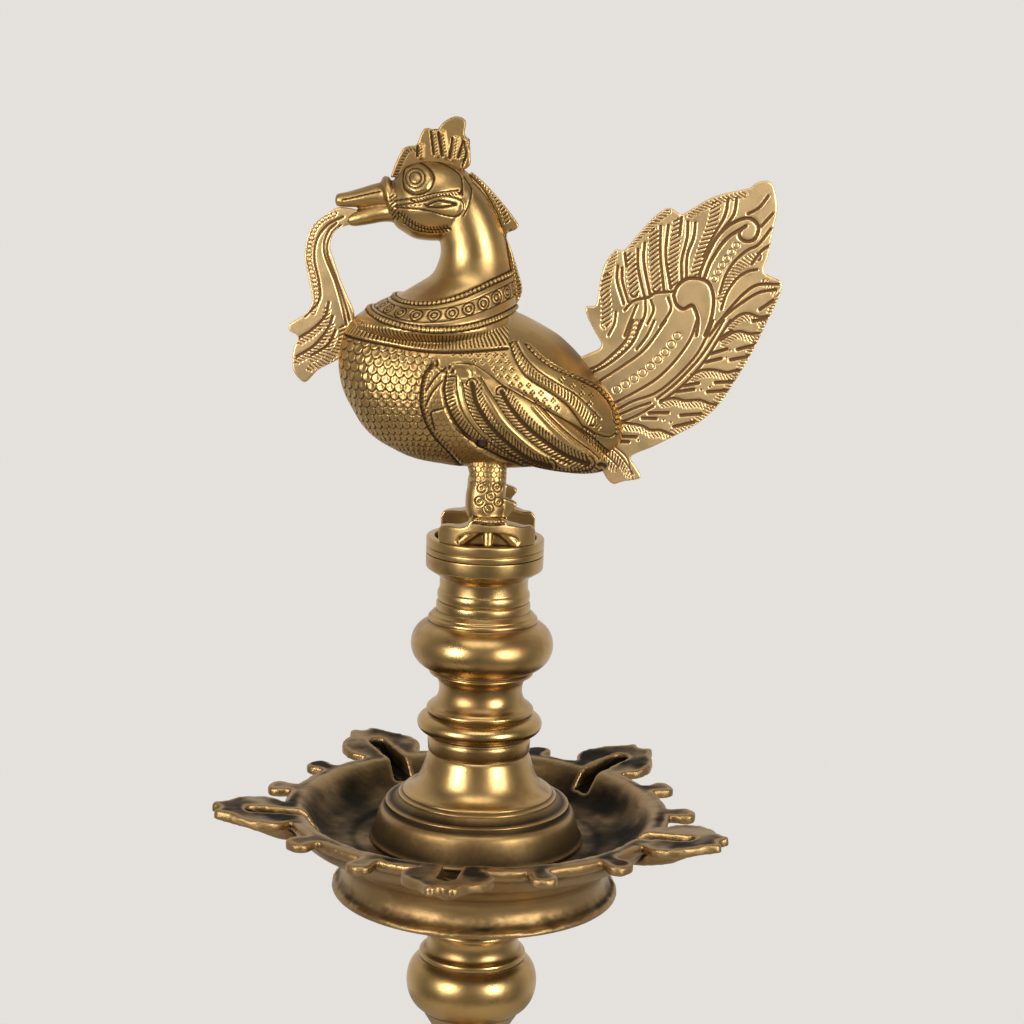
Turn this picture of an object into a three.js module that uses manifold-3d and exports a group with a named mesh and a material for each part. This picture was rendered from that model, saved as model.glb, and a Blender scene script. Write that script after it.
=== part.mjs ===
// A brass standing oil lamp (samai) with a bird finial, as an assembly of cast and turned pieces.
// Millimetres, +Z up. The origin is the centre of the foot on the floor, and the bird faces -X.
// From the floor up: foot, two turned stems, oil pan, pan riser and bird finial, each screwed to
// the next by a threaded stud that stands in a blind bore on both sides of the joint.
import * as THREE from "three";
import { mergeVertices } from "three/addons/utils/BufferGeometryUtils.js";
import { ParametricGeometry } from "three/addons/geometries/ParametricGeometry.js";
import Module from "manifold-3d";

const wasm = await Module();
wasm.setup();

// ---- Driving dimensions ----
const CLEARANCE = 0.3; // between two pieces that meet, and round every stud
const FOOT_TOP = 130; // where the lower stem stands on the foot
const LOWER_STEM_TOP = 330;
const PAN_SEAT = 562; // underside of the pan floor, on the upper stem's shoulder
const PAN_FLOOR = 567; // upper face of the pan floor
const PAN_RIM = 583; // upper face of the pan's rim
const RISER_TOP = 709; // where the finial is screwed on
const RING_TOP = 717.3; // rim of the finial's standing ring

const FOOT_RADIUS = 148;
const SHELL = 4; // wall of the cast foot
const COLUMN_BULB = 32; // greatest radius of every bulb on the column
const COLUMN_SIDES = 24;
const PAN_SIDES = 40;
const FOOT_SIDES = 32; // of the foot and of the finial's ring

const STUD_RADIUS = 8;
const FINIAL_STUD_RADIUS = 6;
const THREAD_DEPTH = 16; // how far each stud goes in on each side of its joint
const BORE_END = 1; // free space past the end of a stud
const FINIAL_BOSS = 11; // height of the finial's threaded boss above the riser

const SPOUT_COUNT = 5;
const FIRST_SPOUT = -96; // degrees from +X
const SPOUT_STEP = 360 / SPOUT_COUNT;
const LUG_OFFSET = 24.5; // degrees from a spout to the lug on each side of it
const PLATE = 4.5; // thickness of the rim, its spouts and its lugs
const SPOUT_RISE = 6; // degrees that a spout climbs from the rim to its tip
const RIM_OUTER = 93.5;
const RIM_INNER = 84;
const PAN_BORE = STUD_RADIUS + 0.6;
const WICK_SLOT_WIDTH = 9;
const TROUGH_WALL = 3.5; // beside the wick slot

const RING_RADIUS = 28.1; // standing ring under the bird
const TAIL_PLATE = 5;
const GARLAND_PLATE = 5;
const CREST_PLATE = 6;
const MANE_PLATE = 4;
const LEG_OFFSET = 15; // from the middle plane to a leg
const FOOT_WIDTH = 12; // across one webbed foot
const SPUR_WIDTH = 6;
const CAST_WALL = 3.5; // wall of the hollow bird

// ---- Solids ----
// A closed geometry as a manifold solid, with its seams merged and its collapsed faces left out.
function solidOf(geometry) {
  const bare = geometry.clone();
  bare.deleteAttribute("normal");
  bare.deleteAttribute("uv");
  const merged = mergeVertices(bare, 1e-3);
  const index = merged.index.array;
  const faces = [];
  for (let i = 0; i < index.length; i += 3) {
    const [a, b, c] = [index[i], index[i + 1], index[i + 2]];
    if (a !== b && b !== c && c !== a) faces.push(a, b, c);
  }
  return new wasm.Manifold(
    new wasm.Mesh({
      numProp: 3,
      vertProperties: new Float32Array(merged.attributes.position.array),
      triVerts: new Uint32Array(faces),
    }),
  );
}

function geometryOf(solid) {
  const mesh = solid.getMesh();
  const positions = new THREE.BufferAttribute(new Float32Array(mesh.vertProperties), 3);
  const geometry = new THREE.BufferGeometry().setAttribute("position", positions);
  geometry.setIndex(new THREE.BufferAttribute(new Uint32Array(mesh.triVerts), 1));
  geometry.computeVertexNormals();
  return geometry;
}

function joined(solids) {
  return solids.reduce((whole, next) => whole.add(next));
}

// A profile of radius and height turned about the lamp's axis.
function turned(path, sides = COLUMN_SIDES, curveSteps = 4) {
  const geometry = new THREE.LatheGeometry(path.getPoints(curveSteps), sides);
  return solidOf(geometry.rotateX(Math.PI / 2));
}

// Continues a profile to (radius, height) through the radius `peak` halfway, out for a bulb or in
// for a cove. The curve's two handles stand near its ends, which keeps it full and round.
function swell(path, peak, radius, height) {
  const from = path.currentPoint;
  const handle = (8 * peak - from.x - radius) / 6;
  const inset = (height - from.y) * 0.15;
  path.bezierCurveTo(handle, from.y + inset, handle, height - inset, radius, height);
}

function cylinder(radius, bottom, top, sides = 20) {
  const geometry = new THREE.CylinderGeometry(radius, radius, top - bottom, sides);
  return solidOf(geometry.rotateX(Math.PI / 2).translate(0, 0, (bottom + top) / 2));
}

function box(x0, x1, y0, y1, z0, z1) {
  const geometry = new THREE.BoxGeometry(x1 - x0, y1 - y0, z1 - z0);
  return solidOf(geometry.translate((x0 + x1) / 2, (y0 + y1) / 2, (z0 + z1) / 2));
}

function outline(points) {
  return new THREE.Shape(points.map(([x, y]) => new THREE.Vector2(x, y)));
}

// A flat plate standing in the lamp's middle plane. Its outline is given as (x, z).
function standingPlate(shape, thickness, curveSteps = 3) {
  const geometry = new THREE.ExtrudeGeometry(shape, {
    depth: thickness,
    bevelEnabled: false,
    curveSegments: curveSteps,
  });
  return solidOf(geometry.translate(0, 0, -thickness / 2).rotateX(Math.PI / 2));
}

// The slot that a standing plate is set into: the plate, grown by the clearance on every side.
function plateSlot(shape, thickness, curveSteps = 3) {
  const geometry = new THREE.ExtrudeGeometry(shape, {
    depth: thickness,
    bevelSize: CLEARANCE,
    bevelThickness: CLEARANCE,
    bevelSegments: 1,
    curveSegments: curveSteps,
  });
  return solidOf(geometry.translate(0, 0, -thickness / 2).rotateX(Math.PI / 2));
}

// A rounded form along a spine. Each station holds the centre and the half-sizes of an oval
// section: `high` in the middle plane and `wide` across it. The first and last close to a point.
function loft(stations, around = 16, along = 12, grow = 0) {
  const centres = stations.map((s) => new THREE.Vector3(s.x, s.y ?? 0, s.z));
  const spine = new THREE.CatmullRomCurve3(centres);
  const halves = stations.map((s) => new THREE.Vector3(s.high, s.wide, 0));
  const sizes = new THREE.CatmullRomCurve3(halves);
  const form = (u, v, target) => {
    const centre = spine.getPoint(v);
    const tangent = spine.getTangent(v);
    const size = sizes.getPoint(v);
    const open = v > 0 && v < 1 ? grow : 0;
    const high = Math.max(size.x, 0) + open;
    const wide = Math.max(size.y, 0) + open;
    const length = Math.hypot(tangent.x, tangent.z);
    const swing = high * Math.cos(2 * Math.PI * u);
    target.set(
      centre.x - (swing * tangent.z) / length,
      centre.y + wide * Math.sin(2 * Math.PI * u),
      centre.z + (swing * tangent.x) / length,
    );
  };
  const made = solidOf(new ParametricGeometry(form, around, along));
  return made.volume() < 0 ? solidOf(flipped(new ParametricGeometry(form, around, along))) : made;
}

function flipped(geometry) {
  const index = geometry.index.array;
  for (let i = 0; i < index.length; i += 3) [index[i + 1], index[i + 2]] = [index[i + 2], index[i + 1]];
  return geometry;
}

// ---- The turned column ----
function stud(radius, joint) {
  return cylinder(radius, joint - THREAD_DEPTH, joint + THREAD_DEPTH);
}

// The blind bores for a stud on both sides of its joint.
function studBore(radius, joint) {
  const end = THREAD_DEPTH + BORE_END;
  return cylinder(radius + CLEARANCE, joint - end, joint + end);
}

function baseFoot() {
  const outside = new THREE.Path().moveTo(0, 0);
  outside.lineTo(FOOT_RADIUS, 0).lineTo(FOOT_RADIUS, 7);
  swell(outside, FOOT_RADIUS + 0.5, 142, 14);
  outside.lineTo(138, 15);
  swell(outside, 122, 116, 28);
  outside.lineTo(116, 33).lineTo(110, 35);
  swell(outside, 94, 62, 62);
  outside.lineTo(62, 66).lineTo(58, 68);
  swell(outside, 34, 26, 104);
  swell(outside, 33, 26, 114);
  swell(outside, 22.5, 25, FOOT_TOP - 5);
  outside.lineTo(25, FOOT_TOP).lineTo(0, FOOT_TOP);
  const inside = new THREE.Path().moveTo(0, -1);
  inside.lineTo(FOOT_RADIUS - 10, -1).lineTo(FOOT_RADIUS - 10, 8);
  swell(inside, 124 - SHELL, 112 - SHELL, 27);
  swell(inside, 93 - SHELL, 58, 60 - SHELL);
  swell(inside, 32 - SHELL, 20, 96);
  inside.lineTo(0, 100);
  const shell = turned(outside, FOOT_SIDES, 3).subtract(turned(inside, FOOT_SIDES, 3));
  return shell.subtract(studBore(STUD_RADIUS, FOOT_TOP));
}

function lowerStem() {
  const bottom = FOOT_TOP + CLEARANCE;
  const path = new THREE.Path().moveTo(0, bottom).lineTo(25, bottom).lineTo(25, bottom + 5);
  swell(path, 21, 26, 158);
  path.lineTo(26, 162);
  swell(path, COLUMN_BULB + 2, 24, 204);
  path.lineTo(24, 207);
  swell(path, 19, 22, 226);
  swell(path, 29.5, 22, 242);
  swell(path, 18.5, 24, 266);
  path.lineTo(24, 269);
  swell(path, COLUMN_BULB, 24, 299);
  swell(path, 20, 24, 322);
  path.lineTo(24, LOWER_STEM_TOP).lineTo(0, LOWER_STEM_TOP);
  const bores = studBore(STUD_RADIUS, FOOT_TOP).add(studBore(STUD_RADIUS, LOWER_STEM_TOP));
  return turned(path).subtract(bores);
}

function upperStem() {
  const bottom = LOWER_STEM_TOP + CLEARANCE;
  const top = PAN_SEAT - CLEARANCE;
  const path = new THREE.Path().moveTo(0, bottom).lineTo(24, bottom).lineTo(24, bottom + 7);
  swell(path, 20, 24.5, 360);
  swell(path, COLUMN_BULB, 24, 392);
  swell(path, 20.5, 23, 412);
  swell(path, 29.5, 24, 430);
  path.lineTo(20.5, 432);
  swell(path, 17.5, 19.6, 471);
  path.lineTo(24.5, 479);
  swell(path, COLUMN_BULB, 26.5, 506);
  swell(path, 25.7, 24, 510);
  swell(path, 21, 24, 534);
  swell(path, 22, 30, top - 4);
  path.lineTo(30, top).lineTo(0, top);
  const bores = studBore(STUD_RADIUS, LOWER_STEM_TOP).add(studBore(STUD_RADIUS, PAN_SEAT));
  return turned(path).subtract(bores);
}

// The riser stud is longer than the others by the thickness of the pan that it passes through.
function riserStud() {
  return cylinder(STUD_RADIUS, PAN_SEAT - THREAD_DEPTH, PAN_FLOOR + THREAD_DEPTH);
}

function panRiser() {
  const bottom = PAN_FLOOR + CLEARANCE;
  const path = new THREE.Path().moveTo(0, bottom).lineTo(52, bottom).lineTo(52, bottom + 2);
  swell(path, 49, 42, 588);
  path.lineTo(35, 591.5).lineTo(35, 595);
  swell(path, 27.5, 24, 611);
  swell(path, 25.5, 24, 617);
  swell(path, 29.8, 25, 633);
  swell(path, 20.5, 21.5, 645);
  path.lineTo(24.7, 648).lineTo(25, 652);
  swell(path, COLUMN_BULB + 0.5, 26.5, 677);
  swell(path, 22.5, 21.2, 685);
  swell(path, 22, 21.2, 696);
  path.lineTo(26.8, 702);
  swell(path, 28.2, RING_RADIUS, RISER_TOP);
  path.lineTo(0, RISER_TOP);
  const bores = studBore(STUD_RADIUS, PAN_FLOOR).add(studBore(FINIAL_STUD_RADIUS, RISER_TOP));
  return turned(path).subtract(bores);
}

// ---- The oil pan ----
function panBowl() {
  const lip = 541;
  const path = new THREE.Path().moveTo(PAN_BORE, PAN_SEAT).lineTo(57, PAN_SEAT);
  swell(path, 60, 60, 551);
  swell(path, 61.5, 66, lip);
  path.lineTo(69.5, lip).lineTo(70, 544);
  swell(path, 64.5, 66, 557);
  swell(path, 70, 80, 567);
  swell(path, 88, RIM_OUTER, PAN_RIM - PLATE);
  path.lineTo(RIM_OUTER, PAN_RIM).lineTo(RIM_INNER, PAN_RIM);
  swell(path, 80, 70, PAN_FLOOR + 2);
  path.lineTo(60, PAN_FLOOR).lineTo(PAN_BORE, PAN_FLOOR).lineTo(PAN_BORE, PAN_SEAT);
  return turned(path, PAN_SIDES, 3);
}

// A spout's outline from above: a narrow neck, a wide leaf and a blunt notched tip. x runs outward.
function spoutShape() {
  const shape = new THREE.Shape().moveTo(86, -15.5).lineTo(93, -15.5);
  shape.quadraticCurveTo(98, -21, 106, -20.5).quadraticCurveTo(116, -18, 121, -10);
  shape.lineTo(127.5, -5).lineTo(125, 0).lineTo(127.5, 5).lineTo(121, 10);
  shape.quadraticCurveTo(116, 18, 106, 20.5).quadraticCurveTo(98, 21, 93, 15.5);
  return shape.lineTo(86, 15.5);
}

function flatPlate(shape, curveSteps = 3) {
  const options = { depth: PLATE, bevelEnabled: false, curveSegments: curveSteps };
  return solidOf(new THREE.ExtrudeGeometry(shape, options).translate(0, 0, PAN_RIM - PLATE));
}

// The boat-shaped trough that hangs under a spout, from its side outline.
function spoutTrough() {
  const side = outline([[82, 580], [82, 568.5], [98, 568], [108, 571], [117, 580]]);
  return standingPlate(side, WICK_SLOT_WIDTH + 2 * TROUGH_WALL);
}

function wickSlot() {
  const side = outline([[78, 590], [78, 573], [100, 573], [108, 577], [112, 590]]);
  return standingPlate(side, WICK_SLOT_WIDTH);
}

function rimLug() {
  const shape = new THREE.Shape().moveTo(90, -5).lineTo(99, -6);
  shape.quadraticCurveTo(106, -6, 106, 0).quadraticCurveTo(106, 6, 99, 6).lineTo(90, 5);
  return flatPlate(shape);
}

function raised(solid) {
  const moved = solid.translate([-RIM_INNER, 0, -PAN_RIM]).rotate([0, -SPOUT_RISE, 0]);
  return moved.translate([RIM_INNER, 0, PAN_RIM]);
}

function oilPan() {
  const spout = raised(flatPlate(spoutShape()).add(spoutTrough()));
  const slot = raised(wickSlot());
  let pan = panBowl();
  for (let i = 0; i < SPOUT_COUNT; i++) {
    const angle = FIRST_SPOUT + i * SPOUT_STEP;
    pan = pan.add(spout.rotate([0, 0, angle]));
    pan = pan.add(rimLug().rotate([0, 0, angle - LUG_OFFSET]));
    pan = pan.add(rimLug().rotate([0, 0, angle + LUG_OFFSET]));
  }
  for (let i = 0; i < SPOUT_COUNT; i++) {
    pan = pan.subtract(slot.rotate([0, 0, FIRST_SPOUT + i * SPOUT_STEP]));
  }
  return pan;
}

// ---- The finial's standing ring, legs and feet ----
function finialPlate() {
  const bottom = RISER_TOP + CLEARANCE;
  const floor = bottom + 3;
  const wall = RING_RADIUS - 4;
  const bossTop = RISER_TOP + FINIAL_BOSS;
  const path = new THREE.Path().moveTo(0, bottom).lineTo(RING_RADIUS, bottom);
  path.lineTo(RING_RADIUS, RING_TOP).lineTo(wall, RING_TOP).lineTo(wall, floor);
  path.lineTo(11, floor).lineTo(11, bossTop).lineTo(0, bossTop);
  const bore = cylinder(FINIAL_STUD_RADIUS + CLEARANCE, RISER_TOP, bossTop + 1);
  return turned(path, FOOT_SIDES).subtract(bore);
}

function finialStud() {
  return cylinder(FINIAL_STUD_RADIUS, RISER_TOP - THREAD_DEPTH, RISER_TOP + FINIAL_BOSS - BORE_END);
}

// One webbed foot: an arch that stands on the ring and carries the leg above it.
function foot() {
  const arch = outline([
    [-22, RING_TOP + CLEARANCE], [-21, 725.5], [-12, 729], [-7, 735],
    [10, 735], [13, 730.5], [20.5, 727.5], [22, RING_TOP + CLEARANCE],
    [17, RING_TOP + CLEARANCE], [14, 724], [2.5, 726.5], [-9, 724], [-12, RING_TOP + CLEARANCE],
  ]);
  const web = standingPlate(arch, FOOT_WIDTH).translate([0, -(LEG_OFFSET + 5), 0]);
  return web.intersect(cylinder(RING_RADIUS, RING_TOP, RING_TOP + 30, FOOT_SIDES));
}

function legStations() {
  return [
    { x: 1.3, y: -LEG_OFFSET - 3, z: 728, high: 0, wide: 0 },
    { x: 1.3, y: -LEG_OFFSET - 3, z: 730, high: 6.2, wide: 5 },
    { x: 0.5, y: -LEG_OFFSET - 2, z: 738, high: 8, wide: 6.5 },
    { x: 0, y: -LEG_OFFSET - 1, z: 750, high: 9.5, wide: 8 },
    { x: -2, y: -LEG_OFFSET, z: 762, high: 13, wide: 10 },
    { x: -2, y: -LEG_OFFSET, z: 765, high: 0, wide: 0 },
  ];
}

function leg() {
  const spur = standingPlate(outline([[6, 739], [14, 736.5], [9, 729], [4, 731]]), SPUR_WIDTH);
  return joined([foot(), loft(legStations(), 12, 8), spur.translate([0, -LEG_OFFSET - 2, 0])]);
}

// ---- The bird ----
function bodyStations(inset = 0) {
  const section = (x, top, bottom, wide) => ({
    x,
    z: (top + bottom) / 2,
    high: (top - bottom) / 2 - inset,
    wide: wide - inset,
  });
  return [
    { x: -71.5 + inset, z: 797, high: 0, wide: 0 },
    section(-66, 817, 777, 15),
    section(-52, 823, 762, 27),
    section(-33, 827, 754, 34),
    section(-10, 829, 751, 36.5),
    section(10, 825, 751, 35),
    section(28, 813, 752, 29),
    section(44, 803, 754, 21),
    section(56, 789, 757, 12),
    { x: 64 - inset, z: 768, high: 0, wide: 0 },
  ];
}

function neck() {
  return loft([
    { x: -20, z: 806, high: 0, wide: 0 },
    { x: -19, z: 816, high: 30, wide: 27 },
    { x: -15.5, z: 829, high: 24, wide: 22 },
    { x: -11, z: 842, high: 18.5, wide: 16.5 },
    { x: -10.5, z: 853, high: 15.5, wide: 14.5 },
    { x: -16, z: 866, high: 14, wide: 14 },
    { x: -22, z: 873, high: 0, wide: 0 },
  ], 16, 12);
}

// The foot of the neck, where it spreads to the shelf above the breast.
function shoulder() {
  return loft([
    { x: -24, z: 804, high: 0, wide: 0 },
    { x: -24, z: 812, high: 37, wide: 28 },
    { x: -24, z: 820, high: 38, wide: 29 },
    { x: -24, z: 828, high: 25, wide: 25 },
    { x: -22, z: 835, high: 0, wide: 0 },
  ], 18, 7);
}

function head() {
  return loft([
    { x: -9.5, z: 874, high: 0, wide: 0 },
    { x: -13, z: 874.5, high: 14, wide: 11 },
    { x: -26, z: 875, high: 18.5, wide: 16.5 },
    { x: -40, z: 875, high: 16.5, wide: 14 },
    { x: -52, z: 874.5, high: 10.5, wide: 9 },
    { x: -55, z: 874.5, high: 0, wide: 0 },
  ], 16, 10);
}

function beak() {
  const upper = loft([
    { x: -49, z: 877.5, high: 0, wide: 0 },
    { x: -50, z: 877.3, high: 5.8, wide: 6.5 },
    { x: -62, z: 875, high: 4.2, wide: 5.3 },
    { x: -73.5, z: 873.6, high: 2.6, wide: 3.6 },
    { x: -74.6, z: 873.6, high: 0, wide: 0 },
  ], 10, 6);
  const lower = loft([
    { x: -49, z: 869, high: 0, wide: 0 },
    { x: -50, z: 869, high: 5, wide: 6 },
    { x: -60, z: 865.8, high: 4.5, wide: 5 },
    { x: -68, z: 863.4, high: 3, wide: 3.6 },
    { x: -69.3, z: 863.2, high: 0, wide: 0 },
  ], 10, 6);
  return upper.add(lower);
}

function wing(side) {
  return loft([
    { x: -20, y: 28 * side, z: 789, high: 0, wide: 0 },
    { x: -14, y: 32 * side, z: 788, high: 13, wide: 5 },
    { x: 4, y: 34 * side, z: 780, high: 20, wide: 5.5 },
    { x: 24, y: 29 * side, z: 770, high: 14.5, wide: 6 },
    { x: 42, y: 20 * side, z: 761, high: 8, wide: 6 },
    { x: 56, y: 12 * side, z: 753, high: 0, wide: 0 },
  ], 12, 9);
}

// The square hole left through the thighs by the pin that held the casting's core.
function chapletHole() {
  return box(-4.7, -0.3, -60, 60, 765, 769.4);
}

function crestShape() {
  const shape = new THREE.Shape().moveTo(-49, 885).lineTo(-46.5, 893).lineTo(-42.5, 899.5);
  shape.lineTo(-37, 900.5).lineTo(-34, 908).lineTo(-29, 907.5);
  shape.quadraticCurveTo(-25, 914, -19.5, 914).quadraticCurveTo(-14, 913, -15.5, 905.5);
  return shape.quadraticCurveTo(-11, 901, -13.5, 890).lineTo(-30, 886);
}

function maneShape() {
  const shape = new THREE.Shape().moveTo(-11.5, 888.8).quadraticCurveTo(-2, 881, 11.5, 865);
  shape.lineTo(6, 861).quadraticCurveTo(12, 848, 13.5, 834.5).lineTo(9, 826).lineTo(0, 828);
  shape.quadraticCurveTo(3, 845, -2, 862);
  return shape.quadraticCurveTo(-9, 874, -16, 882.5);
}

function garlandShape() {
  const shape = new THREE.Shape().moveTo(-62, 868.5).lineTo(-72, 870.5);
  shape.quadraticCurveTo(-88, 863, -88, 848).quadraticCurveTo(-87, 838, -84.5, 827);
  shape.quadraticCurveTo(-85, 821, -95.5, 815).lineTo(-90.5, 810);
  shape.quadraticCurveTo(-95, 795, -87.5, 788).quadraticCurveTo(-82, 795, -71, 799.5);
  shape.lineTo(-66, 804).lineTo(-63.5, 818).quadraticCurveTo(-70, 832, -76, 849);
  return shape.quadraticCurveTo(-78, 858, -69, 861.5).lineTo(-60, 865);
}

// The tail's outline, clockwise from its lower root: seven leaf tips up the near edge to the top,
// then one long curve back down to the covert leaf under it.
function tailShape() {
  const shape = new THREE.Shape().moveTo(36, 772).lineTo(36, 800).lineTo(50, 810).lineTo(43.5, 826);
  shape.lineTo(48.2, 829).quadraticCurveTo(47, 844, 56, 855.5).lineTo(60, 855);
  shape.quadraticCurveTo(65, 867, 80, 875.5).lineTo(86, 872);
  shape.quadraticCurveTo(100, 884, 117.5, 885.5).quadraticCurveTo(123, 890.5, 128.5, 887);
  shape.quadraticCurveTo(132, 870, 125.5, 847.5).lineTo(134, 842);
  shape.quadraticCurveTo(129, 811, 108, 785).quadraticCurveTo(95, 771, 68, 759);
  return shape.lineTo(72.5, 748).lineTo(58.5, 745.5).lineTo(45, 769);
}

function birdBody() {
  const outer = joined([loft(bodyStations(), 20, 14), neck(), shoulder(), head(), beak(), wing(1), wing(-1)]);
  const slots = joined([
    plateSlot(crestShape(), CREST_PLATE),
    plateSlot(maneShape(), MANE_PLATE),
    plateSlot(garlandShape(), GARLAND_PLATE),
    plateSlot(tailShape(), TAIL_PLATE),
  ]);
  const socket = loft(legStations(), 12, 8, CLEARANCE);
  const sockets = socket.add(socket.mirror([0, 1, 0]));
  const hollow = loft(bodyStations(CAST_WALL), 14, 8);
  return outer.subtract(slots).subtract(hollow).subtract(sockets).subtract(chapletHole());
}

// ---- Materials and assembly ----
const BRASS = {
  turned: { color: 0xb98f45, roughness: 0.3, metalness: 1 },
  pan: { color: 0x7c6238, roughness: 0.45, metalness: 1 },
  bird: { color: 0xb0893f, roughness: 0.35, metalness: 1 },
  tail: { color: 0xc29d55, roughness: 0.38, metalness: 1 },
  stud: { color: 0xa37d3c, roughness: 0.5, metalness: 1 },
};

function node(name, finish, solid) {
  const mesh = new THREE.Mesh(geometryOf(solid), new THREE.MeshStandardMaterial(BRASS[finish]));
  mesh.name = name;
  return mesh;
}

const nearLeg = leg();
const lamp = new THREE.Group();
lamp.add(
  node("base_foot", "turned", baseFoot()),
  node("lower_stem_stud", "stud", stud(STUD_RADIUS, FOOT_TOP)),
  node("lower_stem", "turned", lowerStem()),
  node("upper_stem_stud", "stud", stud(STUD_RADIUS, LOWER_STEM_TOP)),
  node("upper_stem", "turned", upperStem()),
  node("oil_pan", "pan", oilPan()),
  node("riser_stud", "stud", riserStud()),
  node("pan_riser", "turned", panRiser()),
  node("finial_stud", "stud", finialStud()),
  node("finial_plate", "turned", finialPlate()),
  node("right_leg", "bird", nearLeg),
  node("left_leg", "bird", nearLeg.mirror([0, 1, 0])),
  node("bird_body", "bird", birdBody()),
  node("bird_crest", "bird", standingPlate(crestShape(), CREST_PLATE)),
  node("bird_mane", "bird", standingPlate(maneShape(), MANE_PLATE)),
  node("beak_garland", "bird", standingPlate(garlandShape(), GARLAND_PLATE)),
  node("bird_tail", "tail", standingPlate(tailShape(), TAIL_PLATE)),
);

export default lamp;
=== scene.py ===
"""Looks for the brass standing oil lamp: turned column, cast oil pan and chased bird finial.

Shapes are worked out in millimetres and scaled to metres when a mesh is made. The joint planes
come from the boxes of the CAD nodes that meet there, so every piece stands where its node does.
"""

import math

import bpy
import numpy as np
from mathutils import Matrix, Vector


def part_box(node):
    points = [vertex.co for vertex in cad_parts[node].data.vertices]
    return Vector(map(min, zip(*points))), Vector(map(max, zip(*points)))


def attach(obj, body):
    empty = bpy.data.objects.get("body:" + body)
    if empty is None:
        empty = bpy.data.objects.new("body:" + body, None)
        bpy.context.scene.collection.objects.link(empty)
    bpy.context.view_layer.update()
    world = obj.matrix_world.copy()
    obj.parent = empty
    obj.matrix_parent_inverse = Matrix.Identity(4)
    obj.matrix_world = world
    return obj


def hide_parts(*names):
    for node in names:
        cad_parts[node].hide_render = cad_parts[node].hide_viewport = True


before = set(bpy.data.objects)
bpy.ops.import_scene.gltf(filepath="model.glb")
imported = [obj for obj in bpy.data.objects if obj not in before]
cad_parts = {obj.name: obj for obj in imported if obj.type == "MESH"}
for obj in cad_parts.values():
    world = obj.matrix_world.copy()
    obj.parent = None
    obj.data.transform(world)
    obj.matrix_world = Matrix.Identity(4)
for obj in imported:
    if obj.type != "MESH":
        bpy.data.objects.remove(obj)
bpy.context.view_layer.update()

METRE = 0.001  # one millimetre


def low(node):
    """A CAD node's lowest point in millimetres."""
    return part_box(node)[0].z / METRE


def high(node):
    """A CAD node's highest point in millimetres."""
    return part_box(node)[1].z / METRE


def reach(node):
    """How far a CAD node stretches along +X from the lamp's axis, in millimetres."""
    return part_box(node)[1].x / METRE


# ---- Driving dimensions, from the frame ----
CLEARANCE = 0.3
FOOT_TOP = high("base_foot")
LOWER_TOP = high("lower_stem")
PAN_SEAT = low("riser_stud") + 16
PAN_FLOOR = high("riser_stud") - 16
RISER_TOP = high("pan_riser")
FOOT_RADIUS = reach("base_foot") - 0.9  # the foot's edge bulges by this much between its corners
STUD_RADIUS = reach("lower_stem_stud")
FINIAL_STUD_RADIUS = reach("finial_stud")
RING_RADIUS = reach("finial_plate")
COLUMN_BULB = 32.1

THREAD_DEPTH = 16  # how far a stud goes in on each side of its joint
THREAD_PITCH = 2.0
BORE_END = 1.0
PAN_BORE = STUD_RADIUS + 0.6
RING_TOP = RISER_TOP + 8.3
FINIAL_BOSS = 11  # height of the finial's threaded boss above the riser

PAN_RIM = PAN_FLOOR + 16
PLATE = 4.5  # thickness of the rim, its spouts and its lugs
RIM_OUTER, RIM_INNER = 93.5, 86.5
SPOUTS = 5
FIRST_SPOUT = -96  # degrees from +X
LUG_OFFSET = 24.5  # degrees from a spout to the lug on each side of it
SPOUT_RISE = 6  # degrees that a spout climbs from the rim to its tip
SLOT_WIDTH, SLOT_END = 9, 113

DRAWING = RISER_TOP + CLEARANCE  # heights in the bird's drawings are measured from here

# The photographer's view, which the bird's sides are also drawn in
CAMERA = (12.26, -1094.6, 948)
LENS, SENSOR = 82.6, 36
CAMERA_TILT, CAMERA_ROLL = 11.3, 1.95  # degrees


# ---- Curves ----
def smoothstep(value, start, end):
    t = np.clip((value - start) / (end - start), 0, 1)
    return t * t * (3 - 2 * t)


def wobble(points, size, seed):
    """Soft uneven waves of about the given size, from -1 to 1."""
    waves = 24
    chance = np.random.default_rng(seed)
    directions = chance.normal(size=(waves, 3))
    directions /= np.linalg.norm(directions, axis=1, keepdims=True)
    lengths = size * chance.uniform(0.6, 1.6, waves)
    phases = chance.uniform(0, 2 * np.pi, waves)
    total = np.zeros(len(points))
    for direction, length, phase in zip(directions, lengths, phases):
        total += np.sin(points @ direction * (2 * np.pi / length) + phase)
    return total / math.sqrt(waves / 2) / 1.6


def catmull(points, step):
    """A smooth curve through points, resampled at about the given step."""
    points = np.asarray(points, float)
    if len(points) < 3:
        ends = points
        count = max(int(np.linalg.norm(ends[1] - ends[0]) / step), 1) + 1
        share = np.linspace(0, 1, count)[:, None]
        return ends[0] * (1 - share) + ends[1] * share
    before = 2 * points[0] - points[1]
    after = 2 * points[-1] - points[-2]
    knots = np.vstack([before, points, after])
    out = []
    for a, b, c, d in zip(knots[:-3], knots[1:-2], knots[2:-1], knots[3:]):
        count = max(int(np.linalg.norm(c - b) / step), 1)
        t = (np.arange(count) / count)[:, None]
        out.append(
            0.5 * (2 * b + (c - a) * t + (2 * a - 5 * b + 4 * c - d) * t**2 + (3 * b - a - 3 * c + d) * t**3)
        )
    return np.vstack(out + [points[-1:]])


def resampled(points, step):
    """Straight pieces cut to about the given step, with every corner kept."""
    out = []
    for a, b in zip(points[:-1], points[1:]):
        count = max(int(np.linalg.norm(b - a) / step), 1)
        out.append(a + (b - a) * (np.arange(count) / count)[:, None])
    return np.vstack(out + [points[-1:]])


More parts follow.
